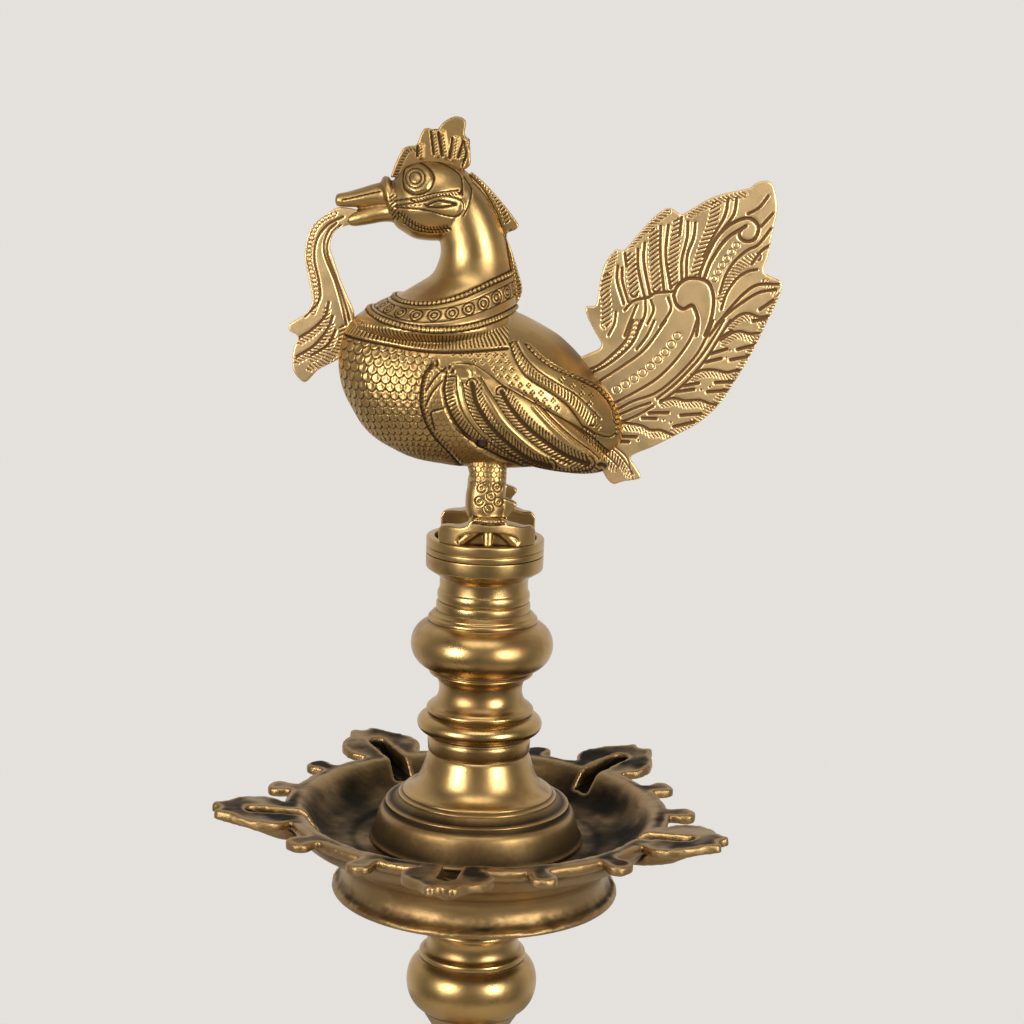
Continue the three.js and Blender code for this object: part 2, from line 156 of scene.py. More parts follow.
class Profile:
    """A turned outline, drawn from point to point as (radius, height)."""

    def __init__(self, radius, height):
        self.points = [(radius, height)]

    def line(self, *places):
        self.points += places
        return self

    def swell(self, peak, radius, height):
        """A full round curve out (a bulb) or in (a cove) to `peak` halfway, as in the CAD."""
        r0, z0 = self.points[-1]
        handle = (8 * peak - r0 - radius) / 6
        inset = (height - z0) * 0.15
        t = np.linspace(0, 1, 25)[1:]
        weights = ((1 - t) ** 3, 3 * t * (1 - t) ** 2, 3 * t**2 * (1 - t), t**3)
        radii = (r0, handle, handle, radius)
        heights = (z0, z0 + inset, height - inset, height)
        r = sum(w * v for w, v in zip(weights, radii))
        z = sum(w * v for w, v in zip(weights, heights))
        self.points += list(zip(r, z))
        return self

    def groove(self, depth=0.6, width=1.0):
        """A small V cut inward, running up from the last point."""
        r, z = self.points[-1]
        self.points += [(r - depth, z + width / 2), (r, z + width)]
        return self

    def bead(self, radius, height):
        """A half-round ring out to `radius`, from the last point up to `height`."""
        r, z = self.points[-1]
        turn = np.linspace(-np.pi / 2, np.pi / 2, 13)[1:]
        middle = (z + height) / 2
        self.points += [
            (r + (radius - r) * math.cos(a), middle + (height - z) / 2 * math.sin(a)) for a in turn
        ]
        return self


# ---- Meshes ----
def mesh_of(name, points, faces):
    mesh = bpy.data.meshes.new(name)
    mesh.from_pydata(np.asarray(points).tolist(), [], faces)
    mesh.update()
    return mesh


def ringed(name, rings, start, end):
    """A closed mesh from rings of points, fanned to one point at each end."""
    rings = np.asarray(rings, float)
    count, sides = rings.shape[:2]
    index = np.arange(count * sides).reshape(count, sides)
    right = np.roll(index, -1, axis=1)
    faces = np.stack([index[:-1], right[:-1], right[1:], index[1:]], -1).reshape(-1, 4).tolist()
    first, last = count * sides, count * sides + 1
    faces += [[first, b, a] for a, b in zip(index[0].tolist(), right[0].tolist())]
    faces += [[last, a, b] for a, b in zip(index[-1].tolist(), right[-1].tolist())]
    return mesh_of(name, np.vstack([rings.reshape(-1, 3), start, end]), faces)


def rows_mesh(name, rows):
    """A closed form from rows of points round it, closed at each end by the row's middle."""
    rows = np.asarray(rows, float)
    return ringed(name, rows, rows[0].mean(0), rows[-1].mean(0))


class Skin:
    """A mesh whose points are held as an array, in millimetres, while it is shaped."""

    def __init__(self, mesh):
        self.mesh = mesh
        flat = np.empty(len(mesh.vertices) * 3)
        mesh.vertices.foreach_get("co", flat)
        self.points = flat.reshape(-1, 3)
        edges = np.empty(len(mesh.edges) * 2, int)
        mesh.edges.foreach_get("vertices", edges)
        self.edges = edges.reshape(-1, 2)
        self.fields = {}

    def write(self):
        self.mesh.vertices.foreach_set("co", self.points.ravel())
        self.mesh.update()

    def normals(self):
        self.write()
        flat = np.empty(len(self.points) * 3)
        self.mesh.vertices.foreach_get("normal", flat)
        return flat.reshape(-1, 3)

    def averaged(self, values, rounds):
        """Values on the points, each mixed with its neighbours' mean, round after round."""
        a, b = self.edges.T
        count = len(self.points)
        degree = np.bincount(a, minlength=count) + np.bincount(b, minlength=count)
        degree = np.maximum(degree, 1)
        values = values.reshape(count, -1).copy()
        for _ in range(rounds):
            for k in range(values.shape[1]):
                column = values[:, k]
                total = np.bincount(a, column[b], count) + np.bincount(b, column[a], count)
                values[:, k] = 0.5 * column + 0.5 * total / degree
        return values

    def relax(self, rounds):
        self.points = self.averaged(self.points, rounds)

    def hollows(self, rounds):
        """How far each point lies below the smoothed surface: positive in hollows."""
        return ((self.averaged(self.points, rounds) - self.points) * self.normals()).sum(1)

    # The dark share holds dirt and painted shade together; wear rubs the tarnish off.
    def paint(self, grime_and_shade, wear):
        self.fields["grime_and_shade"] = np.clip(grime_and_shade, 0, 1)
        self.fields["wear"] = np.clip(wear, 0, 1)


def finished(name, skin, body, nodes, material):
    """The skin as a piece in metres, riding on a body in the place of its CAD nodes."""
    skin.points = skin.points * METRE
    skin.write()
    mesh = skin.mesh
    for field, values in skin.fields.items():
        layer = mesh.attributes.new(field, "FLOAT", "POINT")
        layer.data.foreach_set("value", values.astype(np.float32))
    mesh.shade_smooth()
    mesh.materials.append(material)
    piece = bpy.data.objects.new(name, mesh)
    bpy.context.scene.collection.objects.link(piece)
    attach(piece, body)
    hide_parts(*nodes)
    return piece


# ---- Turning ----
CORNER_ROUNDS = 2  # how much the corners of a turned outline are worn
HOLLOW_ROUNDS = 30  # how wide the outline is smoothed to find its hollows
FLATNESS = 0.012  # a ring is left out when the outline strays less than this from straight
LONGEST_STEP = 3


def softened(line, rounds):
    """A line whose inner points are each mixed with their two neighbours, round after round."""
    line = line.copy()
    for _ in range(rounds):
        line[1:-1] = 0.25 * line[:-2] + 0.5 * line[1:-1] + 0.25 * line[2:]
    return line


def lathe(name, profile, sides=160, step=0.6):
    """A skin turned from a profile whose ends lie on the axis, and how hollow each of its points is."""
    smooth = softened(resampled(np.array(profile.points, float), step), CORNER_ROUNDS)
    wide = softened(smooth, HOLLOW_ROUNDS)
    along = np.gradient(smooth, axis=0)
    outward = np.stack([along[:, 1], -along[:, 0]], 1)
    outward /= np.maximum(np.linalg.norm(outward, axis=1, keepdims=True), 1e-9)
    hollow = ((wide - smooth) * outward).sum(1)
    keep = [0]
    for i in range(1, len(smooth) - 1):
        offset = smooth[i] - smooth[keep[-1]]
        span = smooth[i + 1] - smooth[keep[-1]]
        off = abs(span[0] * offset[1] - span[1] * offset[0])
        if off > FLATNESS * np.linalg.norm(span) or np.linalg.norm(offset) > LONGEST_STEP:
            keep.append(i)
    keep = keep[1:]
    rings = smooth[keep]
    turn = 2 * np.pi * np.arange(sides) / sides
    points = np.empty((len(rings), sides, 3))
    points[:, :, 0] = rings[:, :1] * np.cos(turn)
    points[:, :, 1] = rings[:, :1] * np.sin(turn)
    points[:, :, 2] = rings[:, 1:]
    skin = Skin(ringed(name, points, (0, 0, smooth[0, 1]), (0, 0, smooth[-1, 1])))
    hollow = np.concatenate([np.repeat(hollow[keep], sides), [0, 0]])
    return skin, hollow


# ---- Brass ----
def wired(tree, kind, inputs, output, **settings):
    """A new shader node's output. Its inputs are numbers, colours or other nodes' outputs."""
    node = tree.nodes.new("ShaderNode" + kind)
    for key, value in settings.items():
        setattr(node, key, value)
    for socket, value in inputs.items():
        if isinstance(value, bpy.types.NodeSocket):
            tree.links.new(value, node.inputs[socket])
        else:
            node.inputs[socket].default_value = value
    return node.outputs[output]


def ranged(tree, value, start, end, low_out=0.0, high_out=1.0):
    inputs = {"Value": value, "From Min": start, "From Max": end, "To Min": low_out, "To Max": high_out}
    return wired(tree, "MapRange", inputs, "Result", interpolation_type="SMOOTHSTEP")


def brass(name, clean, tarnish, grime_and_shade, roughness, tarnish_share, scratch):
    """Cast or turned brass: tarnish in soft patches, dirt and painted shade in the hollows, rubbed on the
    edges.
    """
    material = bpy.data.materials.new(name)
    material.use_nodes = True
    tree = material.node_tree
    place = wired(tree, "TexCoord", {}, "Object")

    def noise(scale, detail=4.0, stretch=(1, 1, 1)):
        placed = wired(tree, "Mapping", {"Vector": place, "Scale": stretch}, "Vector")
        inputs = {"Vector": placed, "Scale": scale, "Detail": detail, "Roughness": 0.6}
        return wired(tree, "TexNoise", inputs, "Fac")

    def maths(operation, a, b):
        return wired(tree, "Math", {0: a, 1: b}, "Value", operation=operation)

    def mixed(share, a, b):
        return wired(tree, "Mix", {"Factor": share, "A": a, "B": b}, "Result", data_type="RGBA")

    def field(attribute):
        return wired(tree, "Attribute", {}, "Fac", attribute_name=attribute)

    patches = noise(38.0)
    specks = noise(420.0, 3.0)
    patch_share = maths("MULTIPLY", ranged(tree, patches, 0.42, 0.68), tarnish_share)
    speck_share = maths("MULTIPLY", ranged(tree, specks, 0.56, 0.72, 0.0, 0.2), tarnish_share)
    tarnished = maths("MAXIMUM", patch_share, speck_share)
    rubbed = maths("SUBTRACT", tarnished, maths("MULTIPLY", field("wear"), 0.8))
    colour = mixed(ranged(tree, rubbed, 0.0, 1.0), (*clean, 1), (*tarnish, 1))
    ragged = maths("MULTIPLY", maths("SUBTRACT", specks, 0.5), 0.12)
    # One dark mix carries both real dirt and the painted shade of hollows and undersides.
    grime_and_shade_share = ranged(tree, maths("ADD", field("grime_and_shade"), ragged), 0.02, 0.9)
    uneven = ranged(tree, patches, 0.3, 0.7, -0.05, 0.07)
    dull = maths("ADD", maths("MULTIPLY", grime_and_shade_share, 0.3), uneven)
    grain = maths("ADD", noise(900.0, 2.0, (1, 1, 6)), maths("MULTIPLY", noise(260.0, 3.0), 1.5))
    bump = wired(tree, "Bump", {"Strength": scratch, "Distance": 0.0003, "Height": grain}, "Normal")

    shader = tree.nodes["Principled BSDF"]
    shader.inputs["Metallic"].default_value = 1.0
    tree.links.new(mixed(grime_and_shade_share, colour, (*grime_and_shade, 1)), shader.inputs["Base Color"])
    tree.links.new(maths("ADD", dull, roughness), shader.inputs["Roughness"])
    tree.links.new(bump, shader.inputs["Normal"])
    return material


SOOT, SOOT_FADE = 0.7, 12.0  # how dark the soot is, and the height over which it fades
STAIN = 0.16
# The colours are the clean brass, its tarnish, and the dark of its dirt and painted shade. Then come the
# roughness, how much of it is tarnished, and how deep the scratches are.
TURNED = brass("turned_brass", (0.47, 0.305, 0.12), (0.25, 0.13, 0.052), (0.04, 0.025, 0.013), 0.3, 0.6, 0.1)
PAN = brass("pan_brass", (0.34, 0.22, 0.095), (0.17, 0.10, 0.045), (0.018, 0.014, 0.009), 0.4, 0.9, 0.25)
BIRD = brass("bird_brass", (0.46, 0.30, 0.118), (0.27, 0.155, 0.062), (0.065, 0.036, 0.016), 0.35, 0.6, 0.15)
TAIL = brass("tail_brass", (0.78, 0.55, 0.275), (0.54, 0.36, 0.16), (0.16, 0.088, 0.038), 0.38, 0.5, 0.15)
STUD = brass("stud_brass", (0.46, 0.31, 0.13), (0.28, 0.18, 0.08), (0.03, 0.02, 0.012), 0.4, 0.6, 0.3)


def turned_piece(name, profile, body, node, sides=160, step=0.6, sooty_below=-1000.0):
    """A turned part of the column, dark in its grooves with dirt and painted shade and, if told so, sooty
    near the flames.
    """
    skin, hollow = lathe(name, profile, sides, step)
    soot = SOOT * smoothstep(sooty_below - skin.points[:, 2], 0, SOOT_FADE)
    stain = STAIN * smoothstep(wobble(skin.points, 34, 7), -0.2, 1) * smoothstep(hollow, -0.15, 0.3)
    # Grooves darkened with dirt and painted shade, plus soot and patina stains.
    skin.paint(hollow * 1.3 - 0.1 + soot + stain, -hollow * 1.2 - soot)
    return finished(name, skin, body, [node], TURNED)


# ---- The turned column ----
def foot_profile():
    """The hollow foot, from the top of the space inside it, round its edge and up to its bore."""
    top = FOOT_TOP
    bore = STUD_RADIUS + CLEARANCE
    profile = Profile(0, 100)
    profile.line((20, 96))
    profile.swell(28, 58, 56).swell(89, 108, 27).swell(120, FOOT_RADIUS - 10, 8)
    profile.line((FOOT_RADIUS - 10, 0), (FOOT_RADIUS, 0), (FOOT_RADIUS, 7))
    profile.swell(FOOT_RADIUS + 0.5, 142, 14).line((138, 15)).groove()
    profile.swell(122, 116, 28).line((116, 33), (110, 35)).groove(0.5, 0.9)
    profile.swell(94, 62, 62).line((62, 66), (58, 68)).groove(0.5, 0.9)
    profile.swell(34, 26, 104).swell(33, 26, 114)
    profile.swell(22.5, 25, top - 5).line((25, top), (bore, top))
    return profile.line((bore, top - THREAD_DEPTH - BORE_END), (0, top - THREAD_DEPTH - BORE_END))


def section(bottom, top, bottom_bore, top_bore, draw):
    """A column section: a blind bore at each end, and between them the outline that draw adds."""
    depth = THREAD_DEPTH + BORE_END
    profile = Profile(0, bottom + depth).line((bottom_bore, bottom + depth), (bottom_bore, bottom))
    draw(profile)
    return profile.line((top_bore, top), (top_bore, top - depth), (0, top - depth))


def lower_outline(path):
    bottom = FOOT_TOP + CLEARANCE
    top = LOWER_TOP
    path.line((25, bottom), (25, bottom + 5)).swell(21, 26, 158).line((26, 162)).groove(0.5, 0.8)
    path.swell(COLUMN_BULB + 2, 24, 204).line((24, 207)).swell(19, 22, 226).groove(0.5, 0.8)
    path.swell(29.5, 22, 242).groove(0.5, 0.8).swell(18.5, 24, 266).line((24, 269)).groove(0.5, 0.8)
    path.swell(COLUMN_BULB, 24, 299).swell(20, 24, 322).groove(0.4, 0.8).line((24, top))


def upper_outline(path):
    bottom = LOWER_TOP + CLEARANCE
    top = PAN_SEAT - CLEARANCE
    path.line((24, bottom), (24, bottom + 7)).swell(20, 24.5, 360).groove(0.5, 0.8)
    path.swell(COLUMN_BULB, 24, 392).swell(20.5, 23, 412).groove(0.5, 0.8).swell(29.5, 24, 430)
    path.line((20.5, 432)).swell(17.5, 19.6, 471).line((24.5, 479)).groove(0.5, 0.8)
    path.swell(COLUMN_BULB, 26.5, 505.5).line((25.4, 506.2)).bead(26.2, 509.6).line((24, 510.4))
    path.swell(22.3, 24, 521).groove(0.4, 0.8).swell(22, 24, 534)
    path.swell(22, 30, top - 4).line((30, top))


SKIRT_TOP = PAN_FLOOR + 30  # the riser is sooty below this


def riser_outline(path):
    bottom = PAN_FLOOR + CLEARANCE
    top = RISER_TOP
    path.line((52, bottom), (52, bottom + 1.2)).swell(49.0, 46, bottom + 15.4)
    path.line((45.2, bottom + 15.8), (44.6, bottom + 16.6)).bead(44.4, bottom + 18.6)
    path.line((41.6, bottom + 19.2))
    path.line((38.6, bottom + 21.8)).groove(0.5, 0.8).line((36.6, bottom + 23.4)).groove(0.5, 0.8)
    path.line((35.2, bottom + 25.2)).swell(27.2, 24, top - 98.2).groove(0.5, 0.8)
    path.line((24.6, top - 97), (24.9, top - 92)).line((24.7, top - 90.6), (23.8, top - 89.6))
    path.line((24.4, top - 88.6)).swell(30.2, 24.6, top - 78.6).line((24.8, top - 77.8))
    path.bead(25.9, top - 75.2).line((24.6, top - 74.4)).swell(20.0, 23.4, top - 59.4)
    path.line((25.1, top - 58.6), (25.2, top - 57.6)).line((24.2, top - 57.0), (25.0, top - 56.2))
    path.swell(34.2, 26.4, top - 33.4).line((25.8, top - 32.8)).bead(26.3, top - 30.6)
    path.line((24.9, top - 30.0)).groove(0.3, 0.6).line((22.2, top - 27.4)).bead(22.6, top - 23.4)
    path.line((21.3, top - 23.0)).bead(22.2, top - 17.6).line((21.2, top - 17.2), (21.1, top - 12))
    path.line((22.2, top - 10.4)).line((27.6, top - 7.0), (28.0, top - 6.2), (RING_RADIUS, top))


def riser_profile():
    """The riser, with a wide bore below for its stud and a narrow one above for the finial's."""
    bore = STUD_RADIUS + CLEARANCE
    pin_bore = FINIAL_STUD_RADIUS + CLEARANCE
    return section(PAN_FLOOR + CLEARANCE, RISER_TOP, bore, pin_bore, riser_outline)


def ring_profile():
    """The finial's cup-shaped standing ring, with the boss that its stud screws into."""
    bottom = RISER_TOP + CLEARANCE
    floor = bottom + 3
    wall = RING_RADIUS - 4
    boss = RISER_TOP + FINIAL_BOSS
    bore = FINIAL_STUD_RADIUS + CLEARANCE
    profile = Profile(0, boss - 1.2).line((bore, boss - 1.2), (bore, bottom))
    profile.line((RING_RADIUS - 0.2, bottom), (RING_RADIUS, bottom + 0.3), (RING_RADIUS, bottom + 2.7))
    profile.groove(0.9, 0.8).line((RING_RADIUS, RING_TOP - 0.5), (RING_RADIUS - 0.5, RING_TOP))
    return profile.line((wall, RING_TOP), (wall, floor), (11, floor), (11, boss), (0, boss))


def threaded_stud(node, radius, body):
    """A stud with a cut thread: a helical ridge of THREAD_PITCH, run out at both chamfered ends."""
    name = node + "_threaded"
    bottom, top = low(node), high(node)
    sides, step = 72, 0.25
    heights = np.arange(bottom + 1.2, top - 1.2 + step / 2, step)
    turn = 2 * np.pi * np.arange(sides) / sides
    phase = (heights[:, None] / THREAD_PITCH - turn / (2 * np.pi)) % 1
    ends = np.minimum(heights - heights[0], heights[-1] - heights)[:, None]
    depth = 0.9 * np.abs(2 * phase - 1)
    rings = radius - 0.05 - np.maximum(depth, np.clip(1.2 - ends, 0, 1.2))
    upward = np.broadcast_to(heights[:, None], rings.shape)
    points = np.stack([rings * np.cos(turn), rings * np.sin(turn), upward], -1)
    skin = Skin(ringed(name, points, (0, 0, bottom), (0, 0, top)))
    # Thread roots darkened with dirt and painted shade.
    grime_and_shade = np.concatenate([(depth * np.ones_like(rings)).ravel(), [0, 0]])
    skin.paint(grime_and_shade * 0.7, 0.6 - grime_and_shade)
    return finished(name, skin, body, [node], STUD)


STEM_BORE = STUD_RADIUS + CLEARANCE
lower_stem = section(FOOT_TOP + CLEARANCE, LOWER_TOP, STEM_BORE, STEM_BORE, lower_outline)
upper_stem = section(LOWER_TOP + CLEARANCE, PAN_SEAT - CLEARANCE, STEM_BORE, STEM_BORE, upper_outline)
turned_piece("turned_foot", foot_profile(), "base", "base_foot", sides=224, step=1.0)
turned_piece("turned_lower_stem", lower_stem, "lower_section", "lower_stem")
turned_piece("turned_upper_stem", upper_stem, "upper_section", "upper_stem")
turned_piece("turned_riser", riser_profile(), "riser", "pan_riser", 192, 0.3, sooty_below=SKIRT_TOP)
turned_piece("turned_ring", ring_profile(), "finial", "finial_plate", 192, 0.3)
for node_name, body_name, thread_radius in (
    ("lower_stem_stud", "lower_stud", STUD_RADIUS),
    ("upper_stem_stud", "upper_stud", STUD_RADIUS),
    ("riser_stud", "riser_pin", STUD_RADIUS),
    ("finial_stud", "finial_pin", FINIAL_STUD_RADIUS),
):
    threaded_stud(node_name, thread_radius, body_name)


# ---- Joined castings ----
def object_of(mesh):
    holder = bpy.data.objects.new(mesh.name, mesh)
    bpy.context.scene.collection.objects.link(holder)
    return holder


def modified(holder, kind, **settings):
    """The mesh that a holder has after one modifier. The holder is then removed."""
    modifier = holder.modifiers.new(kind, kind)
    for key, value in settings.items():
        setattr(modifier, key, value)
    graph = bpy.context.evaluated_depsgraph_get()
    mesh = bpy.data.meshes.new_from_object(holder.evaluated_get(graph))
    bpy.data.objects.remove(holder)
    return mesh


def merged(name, meshes):
    """Several closed meshes in one, still overlapping."""
    points = []
    faces = []
    for mesh in meshes:
        base = len(points)
        points += [tuple(v.co) for v in mesh.vertices]
        faces += [[base + i for i in face.vertices] for face in mesh.polygons]
    return mesh_of(name, points, faces)


def carved(mesh, cutters):
    """The mesh less its cutters."""
    cutter = object_of(merged("cutter", cutters))
    made = modified(object_of(mesh), "BOOLEAN", operation="DIFFERENCE", solver="EXACT", object=cutter)
    bpy.data.objects.remove(cutter)
    return made


def fused(name, meshes, voxel):
    """Overlapping closed meshes run into one even skin, like a casting, of the voxel's fineness."""
    joined = object_of(merged(name, meshes))
    mesh = modified(joined, "REMESH", mode="VOXEL", voxel_size=voxel, adaptivity=0.0)
    mesh.name = name
    return Skin(mesh)


def turned_copy(mesh, degrees):
    """A copy of a mesh turned about the lamp's axis."""
    copy = mesh.copy()
    copy.transform(Matrix.Rotation(math.radians(degrees), 4, "Z"))
    return copy


def slab_faces(count):
    """The faces of a slab whose points are one outline of `count` points and then the other."""
    faces = [[i, (i + 1) % count, count + (i + 1) % count, count + i] for i in range(count)]
    return faces + [list(range(count))[::-1], list(range(count, 2 * count))]


def circle(radius, sides):
    turn = np.linspace(0, 2 * np.pi, sides + 1)[:-1]
    return [(radius * math.cos(a), radius * math.sin(a)) for a in turn]


def extruded(name, outline, bottom, top):
    """An upright plate from an outline seen from above."""
    points = [(x, y, z) for z in (bottom, top) for x, y in outline]
    return mesh_of(name, points, slab_faces(len(outline)))


def bowl_profile():
    """The bowl and, under it, the drum that it stands on, closed across the bore."""
    seat, rim = PAN_SEAT, PAN_RIM
    profile = Profile(0, seat).line((56.5, seat)).swell(59.5, 60, seat - 11).swell(61.5, 66, seat - 21)
    profile.line((69.2, seat - 21.2), (70, seat - 20.6), (70.2, seat - 19), (68.6, seat - 17.6))
    profile.swell(64.4, 66.4, seat - 4.6).line((66.0, seat - 4.0)).swell(70.5, 80, rim - 15)
    profile.swell(88.5, RIM_OUTER, rim - PLATE).line((RIM_OUTER, rim), (RIM_INNER, rim))
    return profile.swell(80, 70, PAN_FLOOR + 2).line((60, PAN_FLOOR), (0, PAN_FLOOR))


def bowl_hollow():
    """The space in the bowl and above it, which the spouts and troughs are cut back to."""
    top = PAN_RIM + 20
    profile = Profile(0, PAN_FLOOR).line((60, PAN_FLOOR), (70, PAN_FLOOR + 2))
    profile.swell(80, RIM_INNER, PAN_RIM).line((RIM_INNER, top), (0, top))
    skin, _ = lathe("hollow", profile, sides=192, step=0.8)
    return skin.mesh


def spout_outline():
    """One side of the leaf-shaped spout from its neck to the notch in its tip, then the other."""
    side = [(82, 15), (91, 14.5), (94.5, 17), (99, 20.3), (106, 21), (112, 19), (117, 15), (120.5, 11)]
    side += [(123.5, 8.8), (127, 7), (127.8, 4.2), (125.6, 2)]
    curve = catmull(side, 1.0)
    return np.vstack([curve, [(124.8, 0)], (curve * (1, -1))[::-1]])


def trough():
    """The boat-shaped trough under a spout, U-shaped across."""
    top = PAN_RIM - 2
    turn = np.linspace(0, math.pi, 13)
    rows = []
    for x in np.linspace(80, 118.5, 26):
        outward = (x - 80) / 38.5
        half = 8.2 * math.sqrt(max(1 - outward**4, 0.02))
        bottom = PAN_RIM - 15 + 11.5 * outward**2.6
        depth = top - bottom
        rows.append([(x, -half * math.cos(a), top - depth * math.sin(a) ** 0.8) for a in turn])
    return rows_mesh("trough", rows)


def slot_cutter():
    """The wick slot: open above, rounded at its outer end, with a floor that climbs outward."""
    rows = []
    for x in np.linspace(77, SLOT_END, 30):
        past = max((x - SLOT_END + SLOT_WIDTH / 2) / (SLOT_WIDTH / 2), 0)
        half = SLOT_WIDTH / 2 * math.sqrt(max(1 - past**2, 0.01))
        floor_height = PAN_RIM - 10.5 + 7 * smoothstep(x, 94, SLOT_END + 2)
        top = PAN_RIM + 12
        side = [(half, top), (half, floor_height + 1.5), (half * 0.6, floor_height)]
        rows.append([(x, -y, z) for y, z in side] + [(x, y, z) for y, z in side[::-1]])
    return rows_mesh("slot", rows)


def raised(mesh):
    """Tips a spout's piece up about the inner edge of the rim."""
    pivot = Matrix.Translation((RIM_INNER, 0, PAN_RIM))
    tip = Matrix.Rotation(math.radians(-SPOUT_RISE), 4, "Y")
    mesh.transform(pivot @ tip @ pivot.inverted())
    return mesh


def lug_mesh():
    """A round-headed tab with a slightly narrower neck."""
    half = [(88, 5.6), (94, 5.0), (97, 5.4), (100, 6.4), (103.4, 6.0), (105.8, 3.6), (106.5, 0)]
    curve = catmull(half, 0.8)
    return extruded("lug", np.vstack([curve[:-1], (curve * (1, -1))[::-1]]), PAN_RIM - PLATE, PAN_RIM)


def pan_castings():
    """The bowl with its bore and slots, and the spouts, troughs and lugs, before they are joined."""
    turns = [FIRST_SPOUT + i * 360 / SPOUTS for i in range(SPOUTS)]
    slot = raised(slot_cutter())
    plate = raised(extruded("spout", spout_outline(), PAN_RIM - PLATE, PAN_RIM))
    space = bowl_hollow()
    spout = carved(carved(plate, [slot]), [space])
    boat = carved(carved(raised(trough()), [slot]), [space])
    bowl, _ = lathe("bowl", bowl_profile(), sides=192, step=0.8)
    bore = extruded("bore", circle(PAN_BORE, 48), PAN_SEAT - 5, PAN_FLOOR + 5)
    parts = [carved(bowl.mesh, [bore] + [turned_copy(slot, a) for a in turns])]
    for a in turns:
        parts += [turned_copy(spout, a), turned_copy(boat, a)]
        parts += [turned_copy(lug_mesh(), a - LUG_OFFSET), turned_copy(lug_mesh(), a + LUG_OFFSET)]
    return parts


def oil_pan():
    """The whole pan in one rough casting, worn at its edges, dirty where oil stands, with painted shade in
    its hollows and underside.
    """
    skin = fused("cast_pan", pan_castings(), 0.7)
    skin.relax(5)
    normals = skin.normals()
    rough = wobble(skin.points, 14, 3) * 0.22 + wobble(skin.points, 4, 4) * 0.07
    radius = np.hypot(skin.points[:, 0], skin.points[:, 1])
    bored = (radius < PAN_BORE + 1.5) | (skin.points[:, 2] < PAN_SEAT + 0.5) & (radius < 40)
    hollow = skin.hollows(14)
    # The drum and the side of the dish above it are turned smooth. The rest is left as it was cast.
    drum = smoothstep(-radius, -92, -85) * smoothstep(-normals[:, 2], -0.5, -0.1)
    rough *= 1 - 0.9 * drum
    skin.points += normals * (np.where(bored, 0, rough)[:, None])
    # Old oil darkens the inside of the dish and dirt its top face; painted shade darkens its hollows and its
    # underside.
    inside = smoothstep(-radius, -RIM_INNER - 3, -RIM_INNER + 5)
    inside = inside * smoothstep(skin.points[:, 2], PAN_FLOOR - 2, PAN_FLOOR)
    inside = inside * smoothstep(normals[:, 2], -0.1, 0.3)
    top = smoothstep(normals[:, 2], 0.5, 0.95) * (1 - inside)
    patches = wobble(skin.points * (1, 1, 0.4), 30, 5) * 0.6 + wobble(skin.points, 11, 6) * 0.25
    # Painted shade on the downward faces under the dish.
    under = smoothstep(-normals[:, 2], 0.3, 0.8) * smoothstep(radius, 66, 80)
    grime_and_shade = hollow * 1.5 + inside * (0.50 + 0.24 * patches) + top * (0.48 + 0.6 * patches) + under * 0.25
    wear = -hollow * 3.4 - 0.05
    skin.paint((grime_and_shade - wear * 0.8) * (1 - 0.6 * drum) + 0.12 * drum * patches, np.maximum(wear, drum * 0.6))
    return finished("cast_pan", skin, "pan", ["oil_pan"], PAN)


oil_pan()


# ---- Chased work ----
def enclosed(outline, x, y):
    """Which of the places x, y lie inside an outline."""
    outline = np.asarray(outline, float)
    odd = np.zeros(len(x), bool)
    for (x0, y0), (x1, y1) in zip(outline, np.roll(outline, -1, axis=0)):
        if y0 != y1:
            odd ^= ((y0 > y) != (y1 > y)) & (x < (x1 - x0) * (y - y0) / (y1 - y0) + x0)
    return odd


